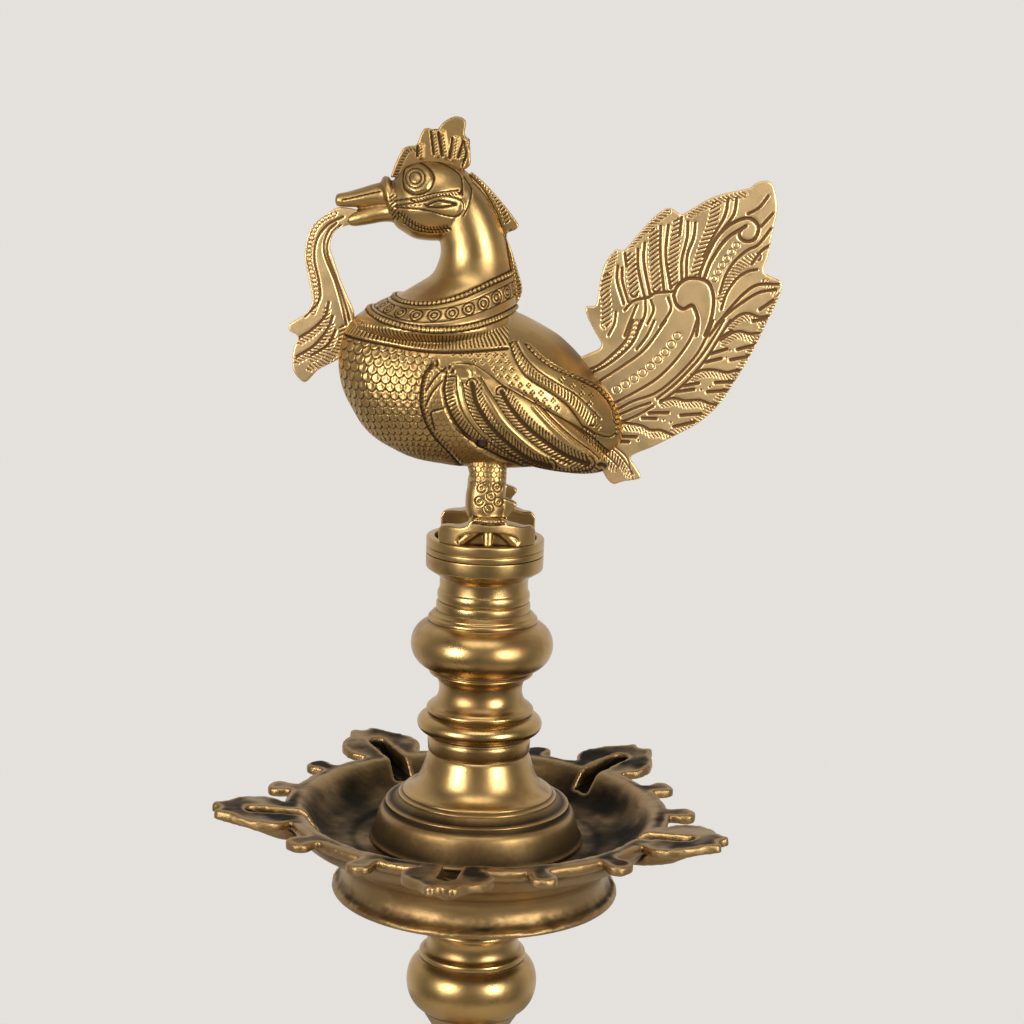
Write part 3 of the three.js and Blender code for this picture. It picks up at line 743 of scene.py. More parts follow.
class Relief:
    """Chased work on a skin, drawn in a plane of its own: across and up, in millimetres.

    `share` says how much of the work each point takes, from 0 to 1. Every method adds to the
    depth cut or the height raised at the points it reaches.
    """

    def __init__(self, skin, across, up, share):
        self.at = np.stack([across, up], 1)
        self.share = share
        self.live = np.flatnonzero(share > 0.02)
        self.cut = skin.cut
        self.rise = skin.rise

    def along(self, line, margin, closed=False):
        """The points within `margin` of a line: their indices, distance, place along it and side."""
        path = np.asarray(line, float)
        if closed:
            path = np.vstack([path, path[:1]])
        elif len(line) > 2:
            path = catmull(line, 1.2)
        near = self.at[self.live]
        inside = ((near > path.min(0) - margin) & (near < path.max(0) + margin)).all(1)
        index = self.live[inside]
        points = self.at[index]
        best = np.full(len(index), np.inf)
        place = np.zeros(len(index))
        side = np.zeros(len(index))
        start = 0.0
        for a, b in zip(path[:-1], path[1:]):
            step = b - a
            length = np.hypot(*step)
            if length < 1e-9:
                continue
            middle = (a + b) / 2
            found = np.flatnonzero(((points - middle) ** 2).sum(1) < (length / 2 + margin) ** 2)
            offset = points[found] - a
            t = np.clip(offset @ step / length**2, 0, 1)
            gap = offset - t[:, None] * step
            distance = np.hypot(*gap.T)
            closer = distance < best[found]
            found = found[closer]
            best[found] = distance[closer]
            place[found] = start + t[closer] * length
            cross = step[0] * offset[closer, 1] - step[1] * offset[closer, 0]
            side[found] = distance[closer] * np.sign(cross)
            start += length
        hit = best < margin
        return index[hit], best[hit], place[hit], side[hit]

    def inside(self, outline):
        """Which live points lie inside an outline."""
        return self.live[enclosed(outline, *self.at[self.live].T)]

    def carve(self, index, depth):
        self.cut[index] = np.maximum(self.cut[index], depth * self.share[index])

    def lift(self, index, height):
        self.rise[index] += height * self.share[index]

    def groove(self, *lines, width=1.1, depth=0.45):
        for line in lines:
            index, distance, _, _ = self.along(line, width / 2)
            self.carve(index, depth * smoothstep(width / 2 - distance, 0, width / 2))

    def ridge(self, *lines, width=1.6, height=0.35):
        for line in lines:
            index, distance, _, _ = self.along(line, width / 2)
            self.lift(index, height * smoothstep(width / 2 - distance, 0, width / 2))

    def hatch(self, line, width=3.8, pitch=1.9, depth=0.4, lean=0.5, offset=0.0):
        """Short cuts across a band that follows the line."""
        index, _, place, side = self.along(line, width / 2 + abs(offset))
        side = side - offset
        wave = np.cos(2 * np.pi * (place + lean * side) / pitch)
        within = smoothstep(width / 2 - np.abs(side), 0, 0.5)
        self.carve(index, depth * within * smoothstep(wave, -0.1, 0.9))

    def beads(self, line, pitch=2.0, height=0.4):
        index, _, place, side = self.along(line, pitch * 0.75)
        gap = (place / pitch % 1 - 0.5) * pitch
        distance = np.hypot(gap, side) / (pitch * 0.48)
        self.lift(index, height * np.sqrt(np.clip(1 - distance**2, 0, 1)))
        self.carve(index, 0.35 * smoothstep(distance, 0.75, 1.1) * smoothstep(1.5 - distance, 0, 0.3))

    def rings(self, line, pitch, radius, depth=0.4, width=0.8):
        index, _, place, side = self.along(line, pitch * 0.6)
        gap = (place / pitch % 1 - 0.5) * pitch
        distance = np.abs(np.hypot(gap, side) - radius)
        self.carve(index, depth * smoothstep(width / 2 - distance, 0, width / 2))

    def ring(self, centre, radius, depth=0.4, width=0.8):
        gap = self.at[self.live] - centre
        distance = np.abs(np.hypot(*gap.T) - radius)
        self.carve(self.live, depth * smoothstep(width / 2 - distance, 0, width / 2))

    def dome(self, centre, radius, height):
        gap = self.at[self.live] - centre
        distance = np.hypot(*gap.T) / radius
        self.lift(self.live, height * np.sqrt(np.clip(1 - distance**2, 0, 1)))

    def dots(self, places, radius=0.55, depth=0.4):
        for place in places:
            near = np.hypot(*(self.at[self.live] - place).T)
            within = smoothstep(radius - near, 0, radius * 0.6)
            self.carve(self.live, depth * within)

    def plateau(self, outline, height, edge=1.5):
        """Raises everything inside an outline, with a soft shoulder."""
        full = np.zeros(len(self.at))
        full[self.inside(outline)] = height
        index, distance, _, _ = self.along(outline, edge, closed=True)
        shoulder = height * smoothstep(distance, 0, edge)
        full[index] = np.where(full[index] > 0, shoulder, 0)
        self.lift(self.live, full[self.live])

    def scales(self, index, across, down, width, pitch, depth=0.35, swell=0.3):
        """Overlapping round-edged scales. `across` and `down` place each indexed point."""
        radius = width * 0.56
        row = np.floor(down / pitch)
        done = np.zeros(len(index), bool)
        cut = np.zeros(len(index))
        rise = np.zeros(len(index))
        for lower in (1, 0, -1):
            line = row - lower
            shift = np.where(line % 2 == 0, 0.0, 0.5)
            gap = ((across / width + shift) % 1 - 0.5) * width
            drop = down - line * pitch
            edge = radius - np.hypot(gap, np.maximum(drop, 0))
            holds = ~done & (edge > 0) & (drop > -pitch)
            cut[holds] = depth * (1 - smoothstep(edge[holds], 0.05, 0.75))
            rise[holds] = swell * (1 - edge[holds] / radius)
            done |= holds
        cut[~done] = depth
        self.carve(index, cut)
        self.lift(index, rise)


def cluster_places(outline, pitch):
    """Centres on a staggered grid that lie inside an outline."""
    near, far = np.min(outline, axis=0), np.max(outline, axis=0)
    places = [
        (x, y)
        for row, y in enumerate(np.arange(near[1], far[1], pitch * 0.87))
        for x in np.arange(near[0] + row % 2 * pitch / 2, far[0], pitch)
    ]
    return [place for place, inside in zip(places, enclosed(outline, *np.array(places).T)) if inside]


def chase(skin):
    """Turns the work done on a skin into its shape, and darkens what was cut and what lies about it, with
    painted shade in its hollows.
    """
    normals = skin.normals()
    halo = skin.averaged(skin.cut, 9)[:, 0]
    skin.points += normals * (skin.rise - skin.cut)[:, None]
    hollow = skin.hollows(6)
    broad = skin.hollows(24)
    wear = np.clip(-hollow * 4, 0, 1)
    # Cuts and their halo are darkened as dirt; the fine and broad hollows get painted shade.
    skin.paint(skin.cut * 1.3 + halo * 1.1 + hollow * 2.0 + broad * 0.5 - 0.08, wear)


def casting(name, meshes, voxel, relaxed):
    """A fused skin, softened for so many rounds, that is ready to be chased."""
    skin = fused(name, meshes, voxel)
    skin.relax(relaxed)
    skin.cut = np.zeros(len(skin.points))
    skin.rise = np.zeros(len(skin.points))
    return skin


# ---- The bird ----
LOFT_STEP = 1.5
THINNEST = 0.02


def ovals(name, middles, swings, widths, around):
    """A closed form from oval sections: the middle, one half axis and the half width of each."""
    turn = 2 * np.pi * np.arange(around) / around
    points = middles[:, None] + swings[:, None] * np.cos(turn)[:, None]
    points[:, :, 1] += widths[:, None] * np.sin(turn)
    points[:, :, 2] += DRAWING
    return rows_mesh(name, points)


def loft(name, stations, around=40, step=LOFT_STEP):
    """A rounded form along a spine. A station is (x, y, height, half size in plane, half across)."""
    rows = catmull(stations, step)
    along = np.gradient(rows[:, :3], axis=0)
    length = np.maximum(np.hypot(along[:, 0], along[:, 2]), 1e-6)
    sizes = np.maximum(rows[:, 3:], THINNEST)
    across = np.stack([-along[:, 2], 0 * length, along[:, 0]], 1) / length[:, None]
    return ovals(name, rows[:, :3], sizes[:, :1] * across, sizes[:, 1], around)


def upright_loft(name, sections):
    """A rounded form from upright oval sections (x, height, half height, half width)."""
    x, height, half, width = catmull(sections, LOFT_STEP).T
    none = np.zeros(len(x))
    swings = np.stack([none, none, np.maximum(half, THINNEST)], 1)
    return ovals(name, np.stack([x, none, height], 1), swings, np.maximum(width, THINNEST), 56)


def level_loft(name, sections):
    """A rounded form from level oval sections (height, front, back, half width)."""
    height, front, back, width = catmull(sections, LOFT_STEP).T
    none = np.zeros(len(height))
    middles = np.stack([(front + back) / 2, none, height], 1)
    return ovals(name, middles, np.stack([(front - back) / 2, none, none], 1), width, 48)


def standing(name, outline, thickness):
    """A plate standing in the middle plane, from its outline as (x, height)."""
    outline = catmull([*outline, outline[0]], 1.5)[:-1]
    points = [(x, y, h + DRAWING) for y in (-thickness / 2, thickness / 2) for x, h in outline]
    return mesh_of(name, points, slab_faces(len(outline)))


def shifted(line, across, up):
    return [(x + across, h + up) for x, h in line]


def halfway(line, other):
    """The line midway between two, point by point."""
    return [((a + c) / 2, (b + d) / 2) for (a, b), (c, d) in zip(line, other)]


def side_relief(skin, side):
    """A relief drawn as seen from the side at eye height, on the near (-1) or far (+1) half."""
    x, y, z = skin.points.T
    near = CAMERA[1] / (CAMERA[1] + np.abs(y))
    across = CAMERA[0] + (x - CAMERA[0]) * near
    up = CAMERA[2] - DRAWING + (z - CAMERA[2]) * near
    facing = skin.normals()[:, 1] * side
    return Relief(skin, across, up, smoothstep(facing, 0.08, 0.35) * (y * side > 0.5))


def plate_relief(skin, side):
    """A relief drawn square on to one face of a standing plate."""
    x, _, z = skin.points.T
    facing = skin.normals()[:, 1] * side
    return Relief(skin, x, z - DRAWING, smoothstep(facing, 0.3, 0.7))


# Oval sections along the bird: x, height, half height and half width. The wing's give y after x.
BODY = [
    (-71.6, 91, 0, 0), (-71.2, 90.5, 5, 4.5), (-70, 90, 10.5, 9), (-68, 89.5, 15.6, 13.4),
    (-64.5, 88.4, 20.8, 17.8), (-60, 86.4, 26, 22.4), (-54, 84.4, 29.9, 26.5), (-46, 82.8, 33, 30),
    (-33, 81.2, 36.5, 34.5), (-10, 80.7, 39, 36.5), (10, 78.7, 37, 35), (28, 75.2, 32, 29.5),
    (36, 72.9, 28.4, 25.4), (42, 70.4, 25, 21.6), (48, 67.8, 21, 17.6), (54, 65.4, 16.6, 13),
    (59, 63.2, 11.4, 8.8), (62.5, 61.5, 6, 4.6), (64, 61, 0, 0),
]
# The neck is given by level sections: height, front, back and half the width.
NECK = [
    (98, -45, -5, 20), (103, -58, 10, 28), (107, -64.5, 12, 33), (110, -64, 11.8, 34),
    (112.5, -61, 11.4, 33.2), (115, -57, 11, 31.6), (119.5, -48.5, 10.2, 28), (122, -43.6, 9.8, 26),
    (126.5, -36.3, 9.2, 22.5), (131.5, -29, 8.4, 18.5), (137.5, -26, 7.4, 16), (143.5, -25, 6.3, 14.8),
    (151, -26.5, 4.4, 14.2), (157, -28, 2.2, 13.8), (163, -28, -0.8, 13.2), (169, -28, -4.6, 12),
    (174, -28, -9, 9.5),
]
HEAD = [
    (-9.5, 165, 0, 0), (-11, 165, 9, 7), (-14, 165.2, 14, 11), (-20, 165.4, 17, 14.5),
    (-28, 165.7, 18.6, 16.5), (-38, 165.5, 17.6, 14.8), (-43.5, 165.2, 14.2, 11.5),
    (-47.5, 165.2, 9.6, 8), (-49.5, 165.2, 0, 0),
]
UPPER_BEAK = [
    (-44, 168, 0, 0), (-46, 168, 6, 7), (-54, 167.6, 5.4, 6.2), (-62, 166, 4.4, 5.4), (-69, 164.8, 3.5, 4.4),
    (-73.6, 164.4, 2.9, 3.6), (-74.3, 164.4, 1.8, 2.4), (-74.6, 164.4, 0, 0),
]
LOWER_BEAK = [
    (-43, 161, 0, 0), (-45, 160.8, 5, 6.4), (-53, 159.4, 4.5, 5.6), (-60, 157.6, 4.2, 5),
    (-66, 155.8, 3.4, 4), (-68.4, 155.2, 2.4, 3), (-69.2, 155.2, 0, 0),
]
BEAK_ROPE = [
    (-50.4, 164.8, 0, 0), (-50.2, 164.9, 9.6, 8.2), (-49.3, 165.2, 10.9, 9.6), (-48.2, 165.6, 11.3, 10),
    (-47.1, 166, 10.9, 9.8), (-46.2, 166.3, 9.8, 9), (-46, 166.4, 0, 0),
]
WING = [
    (-20, 27, 80, 0, 0), (-18, 29.5, 80.5, 7, 4), (-12, 32, 79, 12.5, 6), (4, 33.5, 71, 15.5, 6.4),
    (24, 29, 60.5, 13.8, 6.4), (42, 20, 52, 9.6, 6), (52, 14.5, 47, 5, 4.5), (57, 12, 44, 0, 0),
]
CREST_OUTLINE = [
    (-49, 175.7), (-49, 176), (-46.5, 183), (-43, 189.5), (-38, 190.5), (-37, 191.5), (-34, 198.5),
    (-28.5, 198), (-25.5, 201.5), (-21.5, 204), (-18.5, 204.5), (-15, 202.5), (-15.5, 196.5),
    (-13.5, 194), (-12.5, 187), (-14, 181), (-30, 176.7),
]
MANE_OUTLINE = [
    (-11.8, 179.6), (-5, 174), (4.5, 164), (11, 155.5), (9.5, 153.5), (5.5, 152), (5.5, 149.5),
    (8.5, 142.5), (11.5, 133.5), (13.5, 125), (9, 117.3), (0, 119), (3, 135.7), (-2, 152.7), (-9, 164.7),
    (-16, 173.4),
]
GARLAND_OUTLINE = [
    (-62, 159.2), (-66, 160.6), (-73, 161), (-78, 158), (-84.5, 152.5), (-87, 146.5), (-88, 138.5),
    (-86.5, 129.5), (-84.5, 120.5), (-84.5, 115.5), (-87.5, 111), (-95.5, 105.5), (-94.5, 103),
    (-90.5, 100.5), (-92.5, 94.5), (-93, 88.5), (-92, 83.5), (-87.5, 79), (-84.5, 81), (-82, 84),
    (-79.5, 86), (-71.5, 90.5), (-67.5, 95), (-66, 101), (-64.5, 111.5), (-68, 120), (-71.5, 128),
    (-74.5, 136.5), (-76.5, 142.5), (-75.5, 147.5), (-74, 150.5), (-70, 152.5), (-60, 155.7),
]
TAIL_OUTLINE = [
    (36, 62.7), (36, 90.7), (44, 96), (51.5, 100.5), (47.5, 108.5), (44, 115), (43.5, 119), (48, 119.5),
    (49, 125.5), (50, 133.5), (52, 140), (56.5, 146), (60, 145.5), (65, 151.5), (71.5, 159.5),
    (77, 164.5), (80.5, 166), (83.5, 164.5), (86, 163), (91, 166), (100, 171.5), (109.5, 174.5),
    (117.5, 176.5), (119.5, 178.5), (123.5, 180), (127, 179), (129, 173.5), (130, 166), (128.5, 157),
    (127, 145.5), (125.5, 138), (133.5, 134), (134, 130), (131, 121.5), (127, 112), (122, 100.5),
    (115, 87), (108, 75.5), (99, 66.5), (87.5, 59.5), (77.5, 54), (67.5, 49), (70, 44), (72.5, 39),
    (64.5, 37), (58.5, 36), (52, 45.5), (45, 59.5),
]

# Chased lines, as (x, height above the ring's seat).
THIGH = [(-27, 90), (-31, 85), (-32.5, 77.5), (-32.5, 69.5), (-30, 61.5), (-25.5, 54.5), (-19, 48), (-13, 42)]
THIGH_CUTS = [
    [(-21, 88), (-25.5, 83.5), (-30, 76.5)],
    [(-22.5, 81.5), (-27, 76), (-30, 69.5)],
    [(-21.5, 69), (-27, 67), (-26.5, 63), (-25.5, 59)],
]
WING_EDGE = [
    (-20.5, 86), (-21.5, 78), (-20, 70), (-15.5, 61.5), (-7.5, 54), (1.5, 49), (13, 43.5), (25.5, 39.5),
    (39.5, 38), (49.5, 39), (54, 41.5),
]
WING_BAND = [
    (-16, 84), (-15.5, 76), (-12.5, 67), (-7, 59.5), (-1, 54), (6.5, 49), (18.5, 43.5), (28.5, 41), (40, 40),
    (49, 41.5),
]
WING_GROOVE = [(-13, 81), (-11.5, 73), (-8, 65), (-2.5, 58), (1, 55.5), (10, 48), (19.5, 43.5)]
WING_VALLEYS = [
    [(-8.5, 80.5), (-6, 71), (1, 60.5), (10, 52), (19.5, 45.5), (28.5, 42.5)],
    [(5.5, 77.5), (10, 70), (17.5, 61.5), (26.5, 54.5), (37, 48), (46.5, 44.5)],
]
WING_RIDGES = [
    [(-7, 83), (-1, 74), (6.5, 63), (15.5, 54.5), (25.5, 47.5), (36.5, 43)],
    [(21.5, 70.5), (30, 62), (39, 54.5), (46.5, 49.5), (50.5, 45.5)],
]
WING_CURL = [(-20.5, 84.5), (-17, 89), (-11.5, 89), (-8.5, 86), (-9.5, 82.5), (-13.5, 82)]
WING_TOP = [
    (58, 50), (45, 60), (34, 66), (21.5, 72.5), (12, 77.5), (5.5, 81), (-2, 86.5), (-8.5, 90), (-16, 90),
]
SADDLE_LOW = [(8.5, 101), (11.5, 93), (17, 85), (26.5, 79), (35.5, 73), (40.5, 67.5), (44.5, 62)]
SADDLE_HIGH = [(11, 101.5), (15.5, 94), (22.5, 87.5), (31.5, 82), (39.5, 77.5), (46, 72), (52, 66)]
SADDLE_LINE = [
    (13.5, 102), (19.5, 95.5), (28, 89.5), (38.5, 85.5), (47, 81.5), (53, 76.5), (57, 70.5),
    (58.5, 64.5),
]
SADDLE_BEADS = [
    (16.5, 100), (23, 94), (31, 89), (40.5, 85), (49.5, 81), (55.5, 76), (59, 70.5), (60, 65.5), (60.5, 60),
]
FLAP = [(45, 62), (50, 59), (57, 57.5), (60.5, 60)]
COVERT = [(45, 59.5), (52.5, 52.5), (59.5, 43.5)]
EYE = (-37.5, 175.5)
BROW = [
    (-43.5, 174.5), (-42.5, 180), (-36.5, 183), (-31, 180), (-29, 175.5), (-31.5, 170), (-37.5, 168),
    (-42.5, 170.5), (-43.5, 174.5),
]
HOOD = [(-48, 176), (-45, 181), (-37.5, 184), (-29.5, 184), (-22, 181.5), (-16.5, 177), (-15.5, 168.5)]
NAPE = [(-15, 177), (-11.5, 171.5), (-12.5, 164.5), (-15, 159)]
CHEEK_TOP = [(-47, 165), (-38, 166.5), (-28.5, 169), (-17.5, 171)]
CHEEK = [
    (-46.5, 162.5), (-34.5, 165), (-24, 168), (-16, 166), (-15.5, 161), (-20, 158.5), (-32.5, 161),
    (-46.5, 162),
]
CHEEK_CUTS = [[(-32.5, 163), (-26.5, 165.5), (-18.5, 164.5)], [(-31.5, 162.5), (-25.5, 162.5), (-18.5, 164)]]
JAW_BAND = [(-45, 159.5), (-38.5, 154.5), (-30.5, 152), (-21.5, 153)]
JAW = [(-43, 155), (-37, 151.5), (-29, 150.5)]
BEAK_BEADS = [(-49, 167.5), (-48.5, 162), (-47, 156.5)]
NOSTRIL = [(-71, 164.5), (-62, 167), (-54, 169)]
COLLAR_AXIS = -22
FRINGE_STROKES = 124
# Height of a collar row round the neck: its middle, its tilt towards the back and its side sag.
COLLAR_ROWS = {
    "upper": (127.2, 6.5, 5.6),
    "circles": (122.2, 4.5, 6.0),
    "lower": (116.2, 1.5, 6.4),
    "fringe": (103.2, 0.5, 4.0),
}
BREAST = [(-80, 108), (-60, 101), (-40, 98.5), (-27, 97.5), *THIGH, (-8, 34), (-80, 30)]
FLAP_DOTS = [
    (33, 84), (38, 81), (42.5, 77.5), (46.5, 73), (49.5, 68), (51, 62.5), (50, 57.5), (43, 81), (47, 77),
    (39, 77),
]
DOTTED = [
    (-22, 96), (-6, 97), (7, 99), (10, 92), (16, 84), (25.5, 78), (34, 72), (39, 67), (33, 67.5), (21.5, 74),
    (12, 79), (5.5, 82.5), (-2, 88), (-8.5, 91.5), (-17, 91.5),
]


def collar_place(angle, row):
    middle, tilt, sag = COLLAR_ROWS[row]
    return middle + tilt * np.cos(angle) - sag * np.sin(angle) ** 2


def chase_collar(skin):
    """Two bead rows with a row of punched circles between, and a hatched fringe below them."""
    x, y, z = skin.points.T
    normals = skin.normals()
    angle = np.arctan2(y, x - COLLAR_AXIS)
    height = z - DRAWING
    radius = np.hypot(x - COLLAR_AXIS, y)
    slope = 1 / np.maximum(np.sqrt(np.clip(1 - normals[:, 2] ** 2, 0, 1)), 0.45)
    outer = ((normals[:, 0] * (x - COLLAR_AXIS) + normals[:, 1] * y) > 0) & (height > 90) & (height < 140)
    upper, lower, fringe = (collar_place(angle, row) for row in ("upper", "lower", "fringe"))
    ahead = smoothstep(9 - x, 0, 1.5)

    def lift(amount):
        skin.rise += outer * amount

    def carve(depth):
        skin.cut = np.maximum(skin.cut, outer * depth)

    def cells(row, count):
        """How far each point is across and down from the nearest of `count` places along a row."""
        across = ((angle / (2 * np.pi) * count) % 1 - 0.5) * 2 * np.pi * radius / count
        return across, (height - collar_place(angle, row)) * slope

    lift(0.9 * smoothstep(upper + 1.8 - height, 0, 1.0) * smoothstep(height - lower + 1.6, 0, 1.0))
    lift(0.5 * ahead * smoothstep(lower - height, 0, 1) * smoothstep(height - fringe, 0, 1.2))
    for row, count, size in (("upper", 78, 1.05), ("lower", 112, 1.1)):
        across, down = cells(row, count)
        away = np.hypot(across * 1.05, down) / size
        lift(0.75 * np.sqrt(np.clip(1 - away**2, 0, 1)))
        carve(0.4 * smoothstep(away, 0.7, 1.05) * smoothstep(1.75 - np.abs(down) / size, 0, 0.4))
    across, down = cells("circles", 24)
    for size in (2.9, 1.4):
        carve(0.5 * smoothstep(0.55 - np.abs(np.hypot(across, down) - size), 0, 0.45))
    for offset in (3.3, -3.3):
        carve(0.35 * smoothstep(0.5 - np.abs(down - offset), 0, 0.4))
    within = smoothstep(fringe + 8.5 - height, 0, 0.8) * smoothstep(height - fringe - 0.8, 0, 0.8)
    carve(0.42 * ahead * within * smoothstep(np.cos(angle * FRINGE_STROKES), -0.1, 0.9))
    carve(0.5 * ahead * smoothstep(0.8 - np.abs(height - fringe), 0, 0.6))


SCALES_AROUND, SCALE_WIDTH = 55, 5.1
BREAST_MIDDLE, BREAST_RADIUS = 86, 39


def chase_breast(skin, relief):
    """Rows of scales that follow the round of the breast."""
    index = relief.inside(BREAST)
    x, y, z = skin.points[index].T
    height = z - DRAWING
    angle = np.arctan2(y, x - COLLAR_AXIS)
    holds = height < collar_place(angle, "fringe") - 0.6
    index, x, y, height, angle = index[holds], x[holds], y[holds], height[holds], angle[holds]
    radius = np.hypot(x - COLLAR_AXIS, y)
    across = angle / (2 * np.pi) * SCALES_AROUND * SCALE_WIDTH
    down = (np.pi / 2 - np.arctan2(height - BREAST_MIDDLE, radius)) * BREAST_RADIUS
    relief.scales(index, across, down, SCALE_WIDTH, 3.6, depth=0.75, swell=0.6)


def chase_wing(relief):
    """The thigh's outline, the wing's edge bands and its two feathered valleys."""
    relief.plateau(THIGH + WING_EDGE[:7][::-1], 1.4, edge=2.2)
    relief.groove(THIGH, width=1.6, depth=0.6)
    relief.hatch(THIGH, width=3.4, pitch=2.0, depth=0.35, offset=2.0)
    relief.groove(*THIGH_CUTS, width=1.8, depth=0.55)
    relief.groove(WING_EDGE, width=1.8, depth=0.75)
    relief.groove(WING_BAND, WING_GROOVE, width=1.2, depth=0.5)
    relief.hatch(WING_EDGE, width=4.2, pitch=1.9, depth=0.4, offset=2.4, lean=0.3)
    relief.groove(*WING_VALLEYS, width=4.4, depth=0.6)
    for valley in WING_VALLEYS:
        relief.hatch(valley, width=4.0, pitch=1.9, depth=0.6, lean=0.8, offset=2.6)
        relief.hatch(valley, width=4.0, pitch=1.9, depth=0.6, lean=-0.8, offset=-2.6)
    relief.ridge(*WING_RIDGES, width=5.0, height=1.0)
    relief.groove(*WING_RIDGES, width=1.0, depth=0.45)
    for ridge in WING_RIDGES:
        relief.groove(shifted(ridge, 2.4, 1.2), width=1.1, depth=0.5)
    relief.ridge(WING_CURL, width=3.4, height=0.8)
    relief.groove(WING_CURL, width=1.0, depth=0.4)
    relief.groove(WING_TOP, width=1.2, depth=0.5)


def chase_saddle(relief):
    """The raised flap from back to rump, with its hatched and beaded borders and punched dots."""
    flap = SADDLE_LOW + FLAP + SADDLE_BEADS[::-1] + [(13, 103)]
    relief.plateau(flap, 1.0, edge=1.4)
    relief.hatch(halfway(SADDLE_LOW, SADDLE_HIGH), width=4.0, pitch=1.8, lean=0.6)
    relief.groove(SADDLE_LOW, SADDLE_HIGH, SADDLE_LINE, width=1.1, depth=0.5)
    relief.beads(SADDLE_BEADS, pitch=2.3, height=0.75)
    relief.groove(FLAP, width=1.2, depth=0.55)
    relief.hatch(COVERT, width=4.5, pitch=1.9, lean=0.9)
    for x, h in cluster_places(DOTTED, 4.0) + FLAP_DOTS:
        relief.dots([(x - 0.8, h), (x + 0.8, h), (x, h - 0.9), (x, h + 0.9)], radius=0.6, depth=0.42)


def chase_head(relief):
    """Brow, eye, cheek and jaw, and the hatched band behind the beak."""
    relief.plateau(BROW, 0.8, edge=1.6)
    relief.groove(BROW, HOOD, NAPE, width=1.3, depth=0.5)
    relief.dome(EYE, 2.5, 0.35)
    relief.ring(EYE, 2.6, depth=0.5, width=0.9)
    relief.ring(EYE, 4.3, depth=0.45, width=0.9)
    relief.groove(CHEEK_TOP, CHEEK, width=1.1, depth=0.5)
    relief.hatch(CHEEK_TOP[1:], width=2.2, pitch=1.5, depth=0.35, offset=-1.6)
    relief.groove(*CHEEK_CUTS, width=1.6, depth=0.6)
    relief.dots([(-44 + 2.2 * i, 162.4 + 0.25 * i) for i in range(6)], radius=0.5)
    relief.hatch(JAW_BAND, width=3.8, pitch=1.6)
    relief.groove(JAW_BAND, JAW, width=1.0, depth=0.45)
    relief.hatch(shifted(BEAK_BEADS, 1.2, 0), width=4.0, pitch=1.9, depth=0.4, lean=0.8)
    relief.groove(NOSTRIL, width=1.2, depth=0.5)


def chaplet_hole():
    """The square hole left through the thighs by the pin that held the casting's core."""
    square = [(-5, 55.6), (0, 55.6), (0, 60.4), (-5, 60.4)]
    points = [(x, y, DRAWING + h) for y in (-60, 60) for x, h in square]
    faces = [[4, 5, 1, 0], [5, 6, 2, 1], [6, 7, 3, 2], [7, 4, 0, 3], [0, 1, 2, 3], [7, 6, 5, 4]]
    return mesh_of("hole", points, faces)


def mirrored_y(stations):
    return [(x, -y, *rest) for x, y, *rest in stations]


def bird_body():
    """The body with neck, head, beak and wings, chased on both sides."""
    parts = [upright_loft("body", BODY)]
    parts += [loft("wing", WING), loft("wing", mirrored_y(WING))]
    for name, rows in (("head", HEAD), ("beak", UPPER_BEAK), ("beak", LOWER_BEAK), ("rope", BEAK_ROPE)):
        parts.append(loft(name, [(x, 0, h, a, b) for x, h, a, b in rows]))
    parts.append(level_loft("neck", NECK))
    parts[:3] = [carved(part, [chaplet_hole()]) for part in parts[:3]]
    skin = casting("chased_bird", parts, 0.5, relaxed=8)
    chase_collar(skin)
    for side in (-1, 1):
        relief = side_relief(skin, side)
        chase_breast(skin, relief)
        chase_wing(relief)
        thigh = relief.inside(THIGH + WING_EDGE[:7][::-1])
        relief.scales(thigh, relief.at[thigh, 0], -relief.at[thigh, 1], 3.0, 2.5, depth=0.3, swell=0.2)
        chase_saddle(relief)
        chase_head(relief)
    chase(skin)
    x, y, z = skin.points.T
    # Painted shade on the back between the collar and the saddle.
    rump = smoothstep(x, 14, 46) * smoothstep(24 - np.abs(y), 0, 14) * smoothstep(z - DRAWING, 72, 84)
    head = smoothstep(z - DRAWING, 146, 158) * (0.2 + 0.06 * wobble(skin.points, 22, 8))
    skin.fields["grime_and_shade"] = np.clip(skin.fields["grime_and_shade"] + 0.55 * rump + head, 0, 1)
    return finished("chased_bird", skin, "finial", ["bird_body"], BIRD)


# ---- Tail, garland, mane and crest ----
SCROLL = [
    [
        (84, 125.5), (85.5, 130), (89.5, 133.5), (95, 134), (100, 132), (102.5, 126), (102.5, 118),
        (101, 111.5), (99.5, 107.5),
    ],
    [(84, 125.5), (85.5, 121.5), (89, 119.5), (92.5, 121.5), (94.5, 119), (96, 114), (95.5, 107.5)],
]
UPPER_SCROLL = [
    [(95.5, 134), (96.5, 139), (102, 152), (107.5, 158.5), (113.5, 162), (118, 162.5), (121.5, 159.5),
     (121.5, 155.5), (119.5, 152.5), (116, 152), (113.5, 153.5), (113, 156), (114.5, 158)],
    [(98, 134.5), (100.5, 142), (107, 152.5), (116, 159)],
]
CIRCLE_ROWS = [
    ([(101.5, 132.5), (107, 142), (113, 151.5)], 3.7, 1.5),
    ([(57.5, 79.5), (66.5, 85.5), (74.5, 92), (82, 100), (88, 109)], 4.75, 1.8),
]
RIGHT_LEAF = [
    [(105.5, 127.5), (108, 136.5), (112.5, 143.5), (117.5, 148), (122, 150.5), (127.5, 158)],
    [(106.5, 120), (108.5, 127.5), (113, 134.5), (118, 138), (122, 139)],
    [(104, 111.5), (110.5, 120.5), (117, 128), (123, 132), (132.5, 132.5)],
    [(101.5, 107.5), (109, 117.5), (117.5, 124.5), (124, 128.5), (131.5, 130)],
    [(119.5, 141.5), (124, 148), (128, 150.5)],
    [(116.5, 164.5), (121.5, 167.5), (125.5, 173)],
    [(123, 159), (128, 165)],
]
